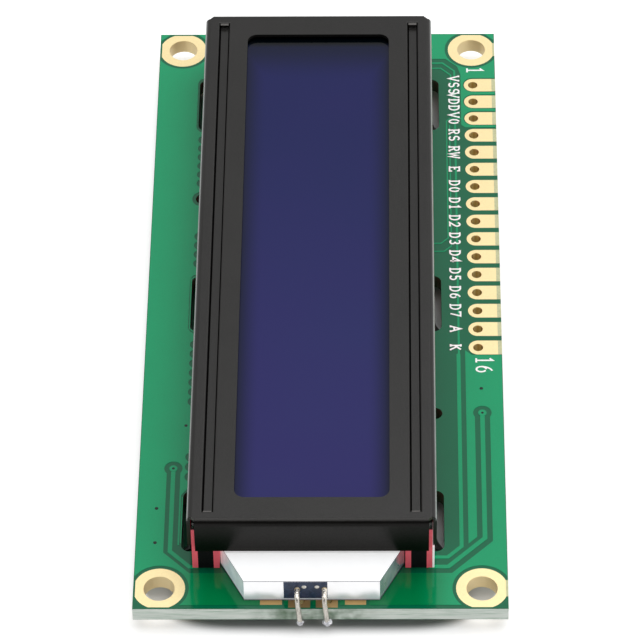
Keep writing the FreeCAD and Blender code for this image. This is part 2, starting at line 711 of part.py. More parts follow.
def led_lead(name, side):
    """Round wire out of the lamp, bent down over the board's edge."""
    line = "(%s %s sizes.lead_spread / 2)" % (LEAD_LINE, side)
    body = new_body(name, x=TAIL_FRONT, y=line, z="sizes.lead_height")
    lean = FreeCAD.Rotation(FreeCAD.Vector(1, 0, 0), value("sizes.lead_lean"))
    body.Placement = FreeCAD.Placement(body.Placement.Base, lean)
    bind(body, Placement__Rotation__Angle="sizes.lead_lean")
    section = new_sketch(body, name + "_section", plane="YZ_Plane")
    circle(section, "0", "0", "sizes.lead_diameter")
    reach = "(sizes.tail_setback + sizes.lead_edge_gap + sizes.lead_diameter / 2)"
    drop = "(sizes.lead_height + sizes.board_thickness + sizes.lead_overhang)"
    path = new_sketch(body, name + "_path", plane="XZ_Plane")
    straight = "(%s - sizes.lead_bend)" % reach
    path.addGeometry(Part.LineSegment(FreeCAD.Vector(0, 0, 0), FreeCAD.Vector(value(straight), 0, 0)))
    bend_centre = FreeCAD.Vector(value(straight), -value("sizes.lead_bend"), 0)
    bend_circle = Part.Circle(bend_centre, FreeCAD.Vector(0, 0, 1), value("sizes.lead_bend"))
    path.addGeometry(Part.ArcOfCircle(bend_circle, 0, math.pi / 2))
    path.addGeometry(Part.LineSegment(FreeCAD.Vector(value(reach), -value("sizes.lead_bend"), 0),
                                      FreeCAD.Vector(value(reach), -value(drop), 0)))
    path.addConstraint(Sketcher.Constraint("Coincident", 0, 1, -1, 1))
    path.addConstraint(Sketcher.Constraint("Horizontal", 0))
    path.addConstraint(Sketcher.Constraint("Vertical", 2))
    path.addConstraint(Sketcher.Constraint("Tangent", 0, 2, 1, 2))
    path.addConstraint(Sketcher.Constraint("Tangent", 1, 1, 2, 1))
    bend = path.addConstraint(Sketcher.Constraint("Radius", 1, value("sizes.lead_bend")))
    path.renameConstraint(bend, "bend")
    path.setExpression("Constraints.bend", "sizes.lead_bend")
    pin_down(path, "DistanceX", 2, 2, reach)
    pin_down(path, "DistanceY", 2, 2, "-" + drop)
    wire = body.newObject("PartDesign::AdditivePipe", name + "_wire")
    wire.Profile = section
    wire.Spine = (path, ["Edge1", "Edge2", "Edge3"])
    return body


def lead_solder(board, leads):
    """A small cone of solder round each lead's end, against the back edge of the board."""
    lumps = []
    lean = "tan(sizes.lead_lean * 1 deg) * (sizes.lead_height + sizes.board_thickness)"
    for number, (lead, side) in enumerate(zip(leads, "-+")):
        lump = doc.addObject("Part::Cone", "lump_%d" % number)
        bind(lump, Radius1="sizes.solder_tip / 2", Radius2="sizes.solder_width / 2",
             Height="sizes.solder_height",
             Placement__Base__x="sizes.board_length / 2 + sizes.lead_edge_gap + sizes.lead_diameter / 2",
             Placement__Base__y="%s %s sizes.lead_spread / 2 + %s" % (LEAD_LINE, side, lean),
             Placement__Base__z="-sizes.board_thickness - sizes.solder_drop")
        clear = cut("lump_off_board_%d" % number, lump, board)
        lumps.append(cut("lump_off_lead_%d" % number, clear, lead))
    joined = doc.addObject("Part::Compound", "lead_solder")
    joined.Label = "lead_solder"
    joined.Links = lumps
    return joined


def from_far_end(inset):
    """Place along the board, measured in from the end away from the lamp."""
    return "(-sizes.board_length / 2 + %s)" % inset


def from_lamp_end(inset):
    """Place along the board, measured in from the lamp's end."""
    return "(sizes.board_length / 2 - %s)" % inset


def blob(name, x, diameter):
    """Flattened dome of black resin over a bare chip on the back of the board."""
    body = new_body(name, x=x, y="sizes.blob_y", z=BOARD_BACK)
    profile = new_sketch(body, name + "_profile", plane="XZ_Plane")
    radius = "(%s / 2)" % diameter
    shoulder = "(%s / 2 - sizes.blob_rim)" % diameter
    profile_points = [("0", "-sizes.blob_height"), (shoulder, "-sizes.blob_rim"), (radius, "0"), ("0", "0")]
    sag = "(sizes.blob_height - sizes.blob_rim)"
    dome_radius = "((%s * %s + %s * %s) / (2 * %s))" % (shoulder, shoulder, sag, sag, sag)
    outline(profile, profile_points, {0: ("0", "(-sizes.blob_height + %s)" % dome_radius, "x")})
    turned = body.newObject("PartDesign::Revolution", name + "_dome")
    turned.Profile = profile
    turned.ReferenceAxis = (origin_part(body, "Z_Axis"), [""])
    turned.Angle = 360
    return body


def chip_row(name, kind, x, spans):
    """A row of equal small blocks on the back of the board, each span given along a chip."""
    line = "(sizes.board_width / 2 - sizes.%s_edge_inset)" % kind
    body = new_body(name, x=x, y=line, z=BOARD_BACK)
    height = "sizes.%s_height" % kind
    count = "sizes.%s_count" % kind
    sketch = new_sketch(body, name + "_plan", z="-" + height)
    for low, high in spans:
        rectangle(sketch, "-sizes.chip_width / 2", "sizes.chip_width / 2", low, high)
    first = pad(body, sketch, name + "_first", height)
    row_of(body, name + "_row", [first], "X_Axis", "sizes.%s_pitch * (%s - 1)" % (kind, count), count)
    return body


def back_chips():
    """Chip resistors and capacitors on the back, each between two tinned end caps."""
    core = "(sizes.chip_length / 2 - sizes.chip_cap)"
    end = "(sizes.chip_length / 2)"
    middle_span = [("-" + core, core)]
    end_spans = [("-" + end, "-" + core), (core, end)]
    resistor_x = from_far_end("sizes.resistor_end_inset")
    capacitor_x = from_lamp_end("sizes.capacitor_end_inset")
    return [
        chip_row("chip_resistors", "resistor", resistor_x, middle_span),
        chip_row("resistor_ends", "resistor", resistor_x, end_spans),
        chip_row("chip_capacitors", "capacitor", capacitor_x, middle_span),
        chip_row("capacitor_ends", "capacitor", capacitor_x, end_spans),
    ]


def display_cell():
    """Front and rear glass, the seal between them and a polarizer on each outer face."""
    front_width = "(2 * (%s - sizes.glass_side_gap))" % BEZEL_INNER_HALF
    rear_width = "(2 * %s)" % WRAP_HALF
    seal_length = "(%s - 2 * sizes.seal_inset)" % GLASS_LENGTH
    seal_width = "(%s - 2 * sizes.seal_inset)" % rear_width
    polarizer_length = "(%s - 2 * sizes.polarizer_inset)" % GLASS_LENGTH
    polarizer_width = "(%s + 2 * sizes.polarizer_overlap)" % WINDOW_WIDTH
    return [
        plate("front_polarizer", polarizer_length, polarizer_width, "sizes.polarizer_thickness", GLASS_TOP),
        plate("front_glass", GLASS_LENGTH, front_width, "sizes.glass_thickness", LEDGE),
        ring("cell_seal", seal_length, seal_width, "sizes.seal_width", "sizes.cell_gap",
             "(%s - sizes.cell_gap)" % LEDGE),
        plate("rear_glass", GLASS_LENGTH, rear_width, "sizes.glass_thickness", REAR_GLASS_BASE),
        plate("rear_polarizer", polarizer_length, seal_width, "sizes.polarizer_thickness",
              REAR_POLARIZER_BASE),
    ]


def backlight_layers():
    """Diffuser on the light guide and the white frame that carries the cell above it."""
    gap = "(sizes.film_thickness + sizes.film_edge_gap)"
    inside = "(2 * (%s - %s))" % (WRAP_HALF, gap)
    length = "(%s + %s - 2 * %s)" % (GUIDE_BACK, TAPER_START, gap)
    middle = "((%s - %s) / 2)" % (TAPER_START, GUIDE_BACK)
    diffuser = plate("diffuser_sheet", length, inside, "sizes.diffuser_thickness", GUIDE_TOP, x=middle)
    frame = ring("backlight_frame", length, inside, "sizes.frame_wall",
                 "(%s - %s)" % (REAR_POLARIZER_BASE, FRAME_BASE), FRAME_BASE, x=middle)
    return [diffuser, frame]


parts = []
blank = board_blank()
rings = mounting_pads()
pads = header_pads()
lamp_pads = backlight_pads()
board = cut("board_less_rings", blank, rings)
board = cut("board_less_header", board, pads)
board = cut("circuit_board", board, lamp_pads)
parts += [board, rings, pads, lamp_pads, bezel()]
parts += display_cell()
parts += contact_strips()
parts.append(strip_shim())
parts += backlight_layers()
parts += [light_guide(), reflector_wrap(), backlight_led()]
anode = led_lead("led_lead_anode", "-")
cathode = led_lead("led_lead_cathode", "+")
parts += [anode, cathode, lead_solder(board, (anode, cathode))]
parts += [
    blob("controller_blob", from_far_end("sizes.controller_end_inset"), "sizes.controller_diameter"),
    blob("driver_blob", from_lamp_end("sizes.driver_end_inset"), "sizes.driver_diameter"),
]
parts += back_chips()
doc.recompute()

for thing in doc.Objects:
    for state in thing.State:
        if state in ("Invalid", "Error"):
            raise RuntimeError("%s did not build: %s" % (thing.Label, thing.State))
for part in parts:
    if part.Shape.isNull() or not part.Shape.isValid():
        raise RuntimeError("%s has no valid shape" % part.Label)

os.makedirs("parts", exist_ok=True)
for part in parts:
    part.Shape.exportStep(os.path.join("parts", part.Label + ".step"))
    print("%-20s %2d solids %9.3f mm3" % (part.Label, len(part.Shape.Solids), part.Shape.Volume))
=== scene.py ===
import bmesh
import bpy
import math
from mathutils import Matrix, Vector, noise


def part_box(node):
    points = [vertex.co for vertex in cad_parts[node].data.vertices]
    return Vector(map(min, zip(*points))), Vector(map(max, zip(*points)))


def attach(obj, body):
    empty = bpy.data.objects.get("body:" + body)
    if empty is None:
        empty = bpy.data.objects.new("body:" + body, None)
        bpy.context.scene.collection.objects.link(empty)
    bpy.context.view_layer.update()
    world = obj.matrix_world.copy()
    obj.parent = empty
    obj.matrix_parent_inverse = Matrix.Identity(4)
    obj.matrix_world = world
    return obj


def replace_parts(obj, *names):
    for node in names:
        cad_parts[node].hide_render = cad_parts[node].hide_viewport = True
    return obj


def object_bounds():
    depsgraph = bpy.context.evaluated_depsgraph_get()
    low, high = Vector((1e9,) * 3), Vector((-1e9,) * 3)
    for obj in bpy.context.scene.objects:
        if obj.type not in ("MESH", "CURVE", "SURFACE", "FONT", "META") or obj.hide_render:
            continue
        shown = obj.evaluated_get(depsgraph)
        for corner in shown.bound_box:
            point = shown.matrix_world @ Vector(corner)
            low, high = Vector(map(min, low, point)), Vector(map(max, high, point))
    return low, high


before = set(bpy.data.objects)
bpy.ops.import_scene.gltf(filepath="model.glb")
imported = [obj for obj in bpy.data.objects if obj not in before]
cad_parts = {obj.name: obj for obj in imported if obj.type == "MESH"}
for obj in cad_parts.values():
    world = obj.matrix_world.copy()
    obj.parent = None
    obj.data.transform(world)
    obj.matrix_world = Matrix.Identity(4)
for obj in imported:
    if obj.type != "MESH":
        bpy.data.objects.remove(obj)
cad_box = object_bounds()
MM = 0.001


# Circuit board: glass-fibre laminate under green solder mask, routed out of a panel, so its edges
# show the pale cut fibres. The mask is glossy, and darker where no copper lies under it.
BOARD_LOW, BOARD_HIGH = (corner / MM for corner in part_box("circuit_board"))
BOARD_MIDDLE = (BOARD_LOW.z + BOARD_HIGH.z) / 2
MASK_SKIN = 0.03
MASK_OVER_LAMINATE = (0.0, 0.120, 0.052)
MASK_GLOSS = 0.10
MASK_SPECULAR = 0.45
CUT_FIBRE = (0.92, 0.99, 0.92)
CUT_RESIN = (0.46, 0.62, 0.50)
CUT_ROUGHNESS = 0.85
CUT_DEPTH = 0.02
FIBRE_STRETCH = (0.2, 0.2, 2.4)
# painted shade on the walls of the slots and holes, which lie in shade
SLOT_WALL_SHADE = (0.05, 0.12, 0.06)
# the cut edge turns darker and greener in patches near the lamp
EDGE_DARKENING = (0.15, 0.24, 0.15)
EDGE_DARKENING_SPREAD = (7.0, 2.5)
LAMP_LINE = -0.6
NOISE_SPAN = (0.3, 0.7)


def surface_grain():
    """Shader group: fine speck and slow cloud over a surface, both from 0 to 1."""
    group = bpy.data.node_groups.new("surface_grain", "ShaderNodeTree")
    for name in ("Speck Scale", "Cloud Scale"):
        group.interface.new_socket(name, in_out="INPUT", socket_type="NodeSocketFloat")
    group.interface.new_socket("Stretch", in_out="INPUT", socket_type="NodeSocketVector")
    for name in ("Speck", "Cloud"):
        group.interface.new_socket(name, in_out="OUTPUT", socket_type="NodeSocketFloat")
    given = group.nodes.new("NodeGroupInput")
    result = group.nodes.new("NodeGroupOutput")
    place = group.nodes.new("ShaderNodeTexCoord")
    stretch = group.nodes.new("ShaderNodeVectorMath")
    stretch.operation = "MULTIPLY"
    group.links.new(place.outputs["Object"], stretch.inputs[0])
    group.links.new(given.outputs["Stretch"], stretch.inputs[1])
    for scale, output, detail in (("Speck Scale", "Speck", 4.0), ("Cloud Scale", "Cloud", 2.0)):
        texture = group.nodes.new("ShaderNodeTexNoise")
        texture.inputs["Detail"].default_value = detail
        spread = group.nodes.new("ShaderNodeMapRange")
        spread.inputs["From Min"].default_value = NOISE_SPAN[0]
        spread.inputs["From Max"].default_value = NOISE_SPAN[1]
        group.links.new(stretch.outputs["Vector"], texture.inputs["Vector"])
        group.links.new(given.outputs[scale], texture.inputs["Scale"])
        group.links.new(texture.outputs["Fac"], spread.inputs["Value"])
        group.links.new(spread.outputs["Result"], result.inputs[output])
    return group


GRAIN = surface_grain()


def new_material(name, roughness, specular=0.5, metallic=0.0):
    """A material and its shader, ready for a pattern in its colour."""
    material = bpy.data.materials.new(name)
    material.use_nodes = True
    shader = material.node_tree.nodes["Principled BSDF"]
    shader.inputs["Roughness"].default_value = roughness
    shader.inputs["Specular IOR Level"].default_value = specular
    shader.inputs["Metallic"].default_value = metallic
    return material, shader


def feed(material, socket, shader, name):
    """Let a socket drive one input of the shader."""
    material.node_tree.links.new(socket, shader.inputs[name])


def grain(material, speck, cloud, stretch=(1.0, 1.0, 1.0)):
    """Speck and cloud of this surface, from their scales."""
    node = material.node_tree.nodes.new("ShaderNodeGroup")
    node.node_tree = GRAIN
    node.inputs["Speck Scale"].default_value = speck
    node.inputs["Cloud Scale"].default_value = cloud
    node.inputs["Stretch"].default_value = stretch
    return node.outputs


def arithmetic(material, operation, value, other):
    """One step of arithmetic on a socket, with a number or another socket."""
    node = material.node_tree.nodes.new("ShaderNodeMath")
    node.operation = operation
    material.node_tree.links.new(value, node.inputs[0])
    if isinstance(other, (int, float)):
        node.inputs[1].default_value = other
    else:
        material.node_tree.links.new(other, node.inputs[1])
    return node.outputs[0]


def product(material, first, *others):
    """Sockets and numbers multiplied together."""
    for other in others:
        first = arithmetic(material, "MULTIPLY", first, other)
    return first


def scale_and_add(material, value, factor, offset):
    """A socket times one number plus another."""
    return arithmetic(material, "ADD", product(material, value, factor), offset)


def distance_from(material, value, middle=0.0):
    """How far a place lies from another in millimetres, to either side."""
    offset = arithmetic(material, "SUBTRACT", value, middle * MM)
    return arithmetic(material, "ABSOLUTE", offset, 0.0)


def ramp(material, value, low, high, unit=MM):
    """Smooth step from 0 to 1 between two values of a socket, in millimetres as a rule."""
    node = material.node_tree.nodes.new("ShaderNodeMapRange")
    node.interpolation_type = "SMOOTHSTEP"
    node.inputs["From Min"].default_value = low * unit
    node.inputs["From Max"].default_value = high * unit
    material.node_tree.links.new(value, node.inputs["Value"])
    return node.outputs["Result"]


def blend_colours(material, factor, first, second):
    """Mix two colours, each a colour or a socket, by a socket."""
    mix = material.node_tree.nodes.new("ShaderNodeMix")
    mix.data_type = "RGBA"
    material.node_tree.links.new(factor, mix.inputs["Factor"])
    for name, colour in (("A", first), ("B", second)):
        socket = [entry for entry in mix.inputs if entry.name == name and entry.type == "RGBA"][0]
        if isinstance(colour, tuple):
            socket.default_value = (*colour, 1.0)
        else:
            material.node_tree.links.new(colour, socket)
    return [entry for entry in mix.outputs if entry.type == "RGBA"][0]


def roughen(material, shader, height, depth):
    """Small bumps, up to a depth in millimetres, from a socket."""
    bump = material.node_tree.nodes.new("ShaderNodeBump")
    bump.inputs["Distance"].default_value = depth * MM
    material.node_tree.links.new(height, bump.inputs["Height"])
    feed(material, bump.outputs["Normal"], shader, "Normal")


def shade(colour, amount):
    """A colour made darker or lighter."""
    return tuple(channel * amount for channel in colour)


def mottle(material, shader, colour, pattern, contrast):
    """Cloud and speck in the colour; gives the socket that feeds the shader."""
    clouded = blend_colours(material, pattern["Cloud"], shade(colour, 1 - contrast), colour)
    specked = blend_colours(material, pattern["Speck"], clouded, shade(colour, 1 + contrast))
    feed(material, specked, shader, "Base Color")
    return specked


def split(material, vector):
    """X, Y and Z of a vector, as sockets."""
    axes = material.node_tree.nodes.new("ShaderNodeSeparateXYZ")
    material.node_tree.links.new(vector, axes.inputs[0])
    return axes.outputs


def object_axes(material):
    """X, Y and Z of the object's own frame, in metres."""
    return split(material, material.node_tree.nodes.new("ShaderNodeTexCoord").outputs["Object"])


def solder_mask(name, colour):
    """Glossy mask over a colour, a little cloudy, with a skin that is not quite flat."""
    material, shader = new_material(name, MASK_GLOSS, MASK_SPECULAR)
    pattern = grain(material, speck=9000.0, cloud=260.0)
    mask = mottle(material, shader, colour, pattern, contrast=0.07)
    roughen(material, shader, pattern["Cloud"], depth=0.0015)
    return material, shader, mask


def laminate_finish():
    """Dark mask on both faces, pale cut fibres round the outline, painted shade on the slot walls.
    """
    material, shader, mask = solder_mask("green_laminate", MASK_OVER_LAMINATE)
    axes = object_axes(material)
    wall = arithmetic(material, "LESS_THAN", distance_from(material, axes["Z"], BOARD_MIDDLE),
                      (BOARD_HIGH.z - BOARD_MIDDLE - MASK_SKIN) * MM)
    ends, sides = (arithmetic(material, "GREATER_THAN", distance_from(material, axes[axis]),
                              (reach - CUT_DEPTH) * MM)
                   for axis, reach in (("X", BOARD_HIGH.x), ("Y", BOARD_HIGH.y)))
    outline = arithmetic(material, "MAXIMUM", ends, sides)
    fibres = grain(material, speck=2600.0, cloud=900.0, stretch=FIBRE_STRETCH)
    cut = blend_colours(material, fibres["Speck"], CUT_RESIN, CUT_FIBRE)
    cut = blend_colours(material, fibres["Cloud"], cut, CUT_FIBRE)
    # Darker, greener patches on the near cut edge close to the lamp's line.
    edge_blotches = grain(material, speck=1500.0, cloud=700.0)
    by_lamp = ramp(material, distance_from(material, axes["Y"], LAMP_LINE), *EDGE_DARKENING_SPREAD)
    near_edge = arithmetic(material, "GREATER_THAN", axes["X"], 0.0)
    by_lamp = product(material, by_lamp, near_edge, edge_blotches["Cloud"])
    cut = blend_colours(material, by_lamp, cut, EDGE_DARKENING)
    # The walls of the slots take painted shade in place of the cut fibres' own colour.
    side = blend_colours(material, outline, SLOT_WALL_SHADE, cut)
    feed(material, blend_colours(material, wall, mask, side), shader, "Base Color")
    roughness = scale_and_add(material, wall, CUT_ROUGHNESS - MASK_GLOSS, MASK_GLOSS)
    feed(material, roughness, shader, "Roughness")
    return material


def dress(material, *nodes):
    """Give nodes of the frame their finish."""
    for node in nodes:
        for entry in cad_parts[node].material_slots:
            entry.material = material


dress(laminate_finish(), "circuit_board")


# Copper under the mask: etched foil on the laminate, which lifts the mask by its own thickness and
# shows through it as a brighter green. A pour runs round the board, with tracks in the bare zone.
MASK_OVER_COPPER = (0.0, 0.300, 0.122)
# painted shade on the mask beside the tail, where tail and bezel block the light
MASK_SHADE_BY_TAIL = (0.0, 0.172, 0.050)
TAIL_SHADE_SPAN = ((34.6, 36.0), (14.0, 9.8))
COPPER_LIFT = 0.03
COPPER_TOP = BOARD_HIGH.z + COPPER_LIFT
SIDE_INSET = 0.06
NEAR_INSET = 0.45
CORNER_LEG = 0.99
MOUNT_INSET = 2.5
MOUNT_CLEARANCE = 2.85
PIN_PITCH = 2.54
PIN_COUNT = 16
PIN_X = BOARD_LOW.x + 8.0
PIN_Y = BOARD_HIGH.y - 2.4
PIN_PAD_WIDTH = 1.9
PAD_CLEARANCE = 0.12
LAMP_PAD_BACK = 37.75
LAMP_PAD_SPANS = ((-5.67, -3.57), (-2.97, -0.87), (-0.33, 1.77), (2.48, 4.58))
DISPLAY_LINE = (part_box("bezel")[0].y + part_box("bezel")[1].y) / 2 / MM
SLOT_LINE = 11.95
SLOT_PITCH = 29.0
SLOT_BAY_REACH = 3.2
SLOT_BAY_RADIUS = 1.0
HOLE_BAY = (-15.0, 1.12)
SCALLOP_PITCH = 1.29
SCALLOP_RADIUS = 0.62
SCALLOP_LINE = -12.88
SCALLOP_ROWS = ((-23.75, 6), (-9.55, 4), (5.65, 7), (20.75, 3))
FOOT_EDGE_START = 24.6
FOOT_EDGE_STEPS = 600
FAR_RUN = -36.05
NEAR_RUN = 35.6
SHELTER = 12.2
SHARPEST_MITRE = 0.35
HEADER_LOOP = (14.95, 15.88)
FOOT_LOOP = (22.24, -14.62)


def arc(centre, radius, start, end, steps=24):
    """Points along an arc between two angles in degrees."""
    points = []
    for step in range(steps + 1):
        angle = math.radians(start + (end - start) * step / steps)
        points.append((centre[0] + radius * math.cos(angle), centre[1] + radius * math.sin(angle)))
    return points


def slab(shape, outline, low, high):
    """Flat solid between two levels, from one closed outline."""
    rim = [shape.verts.new((x, y, low)) for x, y in outline]
    face = shape.faces.new(rim)
    raised = bmesh.ops.extrude_face_region(shape, geom=[face])
    tops = [entry for entry in raised["geom"] if isinstance(entry, bmesh.types.BMVert)]
    bmesh.ops.translate(shape, verts=tops, vec=(0, 0, high - low))


def ribbon(shape, path, width, low, high, closed=False):
    """Flat band of one width along a path between two levels, with mitred corners."""
    count = len(path)
    rings = []
    for number, point in enumerate(path):
        here = Vector(point)
        before = Vector(path[number - 1]) if closed or number else None
        after = Vector(path[(number + 1) % count]) if closed or number + 1 < count else None
        into = (here - before).normalized() if before else (after - here).normalized()
        out = (after - here).normalized() if after else into
        normal = Vector((-into.y, into.x))
        across = (normal + Vector((-out.y, out.x))).normalized()
        across *= width / 2 / max(across.dot(normal), SHARPEST_MITRE)
        ends = (here + across, here - across)
        rings.append([shape.verts.new((*end, level)) for level in (low, high) for end in ends])
    links = list(zip(rings, rings[1:] + rings[:1]))
    for first, second in links if closed else links[:-1]:
        for corner, following in ((0, 1), (1, 3), (3, 2), (2, 0)):
            shape.faces.new((first[corner], first[following], second[following], second[corner]))
    if not closed:
        for ring in (rings[0], rings[-1]):
            shape.faces.new((ring[0], ring[1], ring[3], ring[2]))


def place_piece(name, shape, material):
    """Turn a shape in millimetres into a piece fixed to the board."""
    bmesh.ops.recalc_face_normals(shape, faces=shape.faces)
    large = [face for face in shape.faces if len(face.verts) > 4]
    bmesh.ops.triangulate(shape, faces=large, ngon_method="EAR_CLIP")
    bmesh.ops.scale(shape, vec=(MM, MM, MM), verts=shape.verts)
    mesh = bpy.data.meshes.new(name)
    shape.to_mesh(mesh)
    shape.free()
    mesh.materials.append(material)
    piece = bpy.data.objects.new(name, mesh)
    bpy.context.scene.collection.objects.link(piece)
    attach(piece, "root")
    return piece


def corner_bite(side_x, side_y, end_inset, along_first):
    """Concave arc round a mounting pad, between the pour's edges along the board's side and end."""
    centre = (side_x * (BOARD_HIGH.x - MOUNT_INSET), side_y * (BOARD_HIGH.y - MOUNT_INSET))
    inward = math.degrees(math.atan2(-side_y, -side_x))
    end_turn = 135 - math.degrees(math.acos((MOUNT_INSET - end_inset) / MOUNT_CLEARANCE))
    side_turn = 135 - math.degrees(math.acos((MOUNT_INSET - SIDE_INSET) / MOUNT_CLEARANCE))
    turn = side_x * side_y
    if along_first:
        return arc(centre, MOUNT_CLEARANCE, inward - turn * side_turn, inward + turn * end_turn)
    return arc(centre, MOUNT_CLEARANCE, inward + turn * end_turn, inward - turn * side_turn)


def bare_edge_along_foot():
    """The pour's inner edge on the foot side: scallops round vias, bays round slots and a hole."""
    bays = [(HOLE_BAY[0], HOLE_BAY[0], HOLE_BAY[1])]
    bays += [(slot_x - SLOT_BAY_REACH, slot_x + SLOT_BAY_REACH, SLOT_BAY_RADIUS)
             for slot_x in (-SLOT_PITCH, 0.0)]
    scallops = []
    for first, count in SCALLOP_ROWS:
        scallops += [first + SCALLOP_PITCH * number for number in range(count)]
    points = []
    for step in range(FOOT_EDGE_STEPS + 1):
        x = FOOT_EDGE_START + (FAR_RUN - FOOT_EDGE_START) * step / FOOT_EDGE_STEPS
        y = -SHELTER
        for west, east, radius in bays:
            off = max(west - x, x - east, 0.0)
            if off < radius:
                y = min(y, DISPLAY_LINE - SLOT_LINE - math.sqrt(radius ** 2 - off ** 2))
        for centre in scallops:
            off = abs(x - centre)
            if off < SCALLOP_RADIUS:
                y = min(y, SCALLOP_LINE - math.sqrt(SCALLOP_RADIUS ** 2 - off ** 2))
        points.append((x, y))
    return points


def pour_outline():
    """Anticlockwise round the board's rim, then back along the bezel's shelter."""
    rim_x = BOARD_HIGH.x - NEAR_INSET
    rim_y = BOARD_HIGH.y - SIDE_INSET
    outline = [(-25.95, 14.3), (-25.55, 14.7), (-25.55, rim_y)]
    bay = PIN_PAD_WIDTH / 2 + PAD_CLEARANCE
    for number in (2, 1, 0):
        pin = PIN_X + PIN_PITCH * number
        outline += [(pin + bay, rim_y)] + arc((pin, PIN_Y), bay, 0, -180, 16) + [(pin - bay, rim_y)]
    outline += corner_bite(-1, 1, SIDE_INSET, True)
    outline += corner_bite(-1, -1, SIDE_INSET, False)
    outline += corner_bite(1, -1, NEAR_INSET, True)
    back = LAMP_PAD_BACK - PAD_CLEARANCE
    for low, high in LAMP_PAD_SPANS:
        low, high = low - PAD_CLEARANCE, high + PAD_CLEARANCE
        outline += [(rim_x, low), (back, low), (back, high), (rim_x, high)]
    outline += corner_bite(1, 1, NEAR_INSET, False)
    outline += [(7.15, rim_y), (7.15, 14.95), (6.5, 14.28), (31.9, 14.28), (31.06, 15.12)]
    outline += arc(HEADER_LOOP, 0.92, -55, -305)
    outline += [(31.6, 16.64), (NEAR_RUN, 12.64), (NEAR_RUN, -12.66), (33.0, -15.26)]
    outline += arc(FOOT_LOOP, 0.9, -45, -308)
    outline += [(32.05, -13.91), (32.05, -13.75), (25.7, -13.75), (24.9, -13.2), (24.9, -SHELTER)]
    outline += bare_edge_along_foot()
    outline += [(FAR_RUN, 12.7), (-34.85, 13.95), (-33.6, 14.3)]
    return outline


def copper_finish():
    """Mask over copper, with painted shade beside the backlight's tail."""
    material, shader, mask = solder_mask("mask_over_copper", MASK_OVER_COPPER)
    axes = object_axes(material)
    # Painted shade beside the backlight's tail.
    along, across = TAIL_SHADE_SPAN
    shade_by_tail = product(material,
                      ramp(material, distance_from(material, axes["Y"], DISPLAY_LINE), *across),
                      ramp(material, axes["X"], *along))
    feed(material, blend_colours(material, shade_by_tail, mask, MASK_SHADE_BY_TAIL), shader, "Base Color")
    return material


TRACKS = (
    # path and width of each track in the bare zone
    ([HEADER_LOOP, (31.2, 15.88), (34.8, 12.28), (34.8, 10.4)], 0.45),
    ([FOOT_LOOP, (32.85, -14.62), (34.8, -12.67), (34.8, -11.8)], 0.42),
    ([(-35.4, 10.6), (-35.4, 12.4), (-34.15, 13.65), (7.0, 13.65)], 0.2),
    ([(7.0, 13.6), (32.25, 13.6), (33.6, 12.25), (33.6, 10.4)], 0.38),
    ([(-34.6, 10.6), (-34.6, 12.2), (-33.55, 13.25), (-31.0, 13.25)], 0.16),
    ([(-26.9, 14.3), (-26.9, 13.1), (-26.5, 12.74), (-9.25, 12.74), (-8.5, 12.0), (-8.5, 10.6)],
     0.13),
    ([(-25.9, 13.06), (-8.1, 13.06), (-7.35, 12.3), (-7.35, 10.6)], 0.13),
    ([(25.9, -13.61), (31.8, -13.61)], 0.10),
    ([(-4.0, -13.0), (-3.5, -13.62), (3.5, -13.62), (4.0, -13.0)], 0.12),
)
copper_green = copper_finish()
pour = bmesh.new()
slab(pour, pour_outline(), BOARD_HIGH.z, COPPER_TOP)
far_x, side_y = BOARD_LOW.x + SIDE_INSET, BOARD_HIGH.y - SIDE_INSET
for side in (-1, 1):
    slab(pour, [(far_x, side * side_y), (far_x, side * (side_y - CORNER_LEG)),
                (far_x + CORNER_LEG, side * side_y)], BOARD_HIGH.z, COPPER_TOP)
place_piece("copper_pour", pour, copper_green)
for number, (path, width) in enumerate(TRACKS):
    track = bmesh.new()
    ribbon(track, path, width, BOARD_HIGH.z, COPPER_TOP)
    place_piece("track_%d" % number, track, copper_green)


# Vias: small plated holes that carry a track through the board, filled and covered by the mask, so
# that each is a shallow dimple with a dark middle in a slightly proud land.
VIA_DIMPLE = (0.002, 0.014, 0.009)
LAND_LIFT = 0.012
DIMPLE_LIFT = 0.005
LAND_ARC = (0, 345, 23)
DIMPLE_ARC = (0, 345, 15)
VIAS = (
    # place, land radius and dimple radius
    (HEADER_LOOP, 0.42, 0.13),
    (FOOT_LOOP, 0.40, 0.14),
    ((11.7, 15.83), 0.24, 0.18),
    ((16.6, -13.56), 0.0, 0.16),
    ((27.4, -16.1), 0.0, 0.18),
    ((31.76, -16.1), 0.0, 0.18),
)
dimple_finish = solder_mask("via_dimple", VIA_DIMPLE)[0]
for number, (place, land, dimple) in enumerate(VIAS):
    ground_level = COPPER_TOP
    if land:
        ground_level += LAND_LIFT
        ring = bmesh.new()
        slab(ring, arc(place, land, *LAND_ARC), BOARD_HIGH.z, ground_level)
        place_piece("via_land_%d" % number, ring, copper_green)
    spot = bmesh.new()
    slab(spot, arc(place, dimple, *DIMPLE_ARC), BOARD_HIGH.z, ground_level + DIMPLE_LIFT)
    place_piece("via_dimple_%d" % number, spot, dimple_finish)


# Plated pads: copper foil with thin gold over nickel, round the mounting holes, the header holes
# and the lamp's pads. The mask stops short of each pad and leaves a strip of bare laminate at the
# board's edge.
GOLD = (0.93, 0.77, 0.41)
MOUNT_BORE = (0.95, 0.80, 0.48)
# painted highlights and painted shade down the header bores, by the way each wall faces
BORE_HIGHLIGHT = (1.0, 0.88, 0.46)
BORE_MIDDLE = (0.92, 0.72, 0.28)
BORE_SIDE_SHADE = (0.48, 0.26, 0.03)
BORE_HIGHLIGHT_SPAN = (0.05, 0.4)
BORE_SIDE_SHADE_SPAN = (0.6, 0.9)
BORE_RIM = 0.06
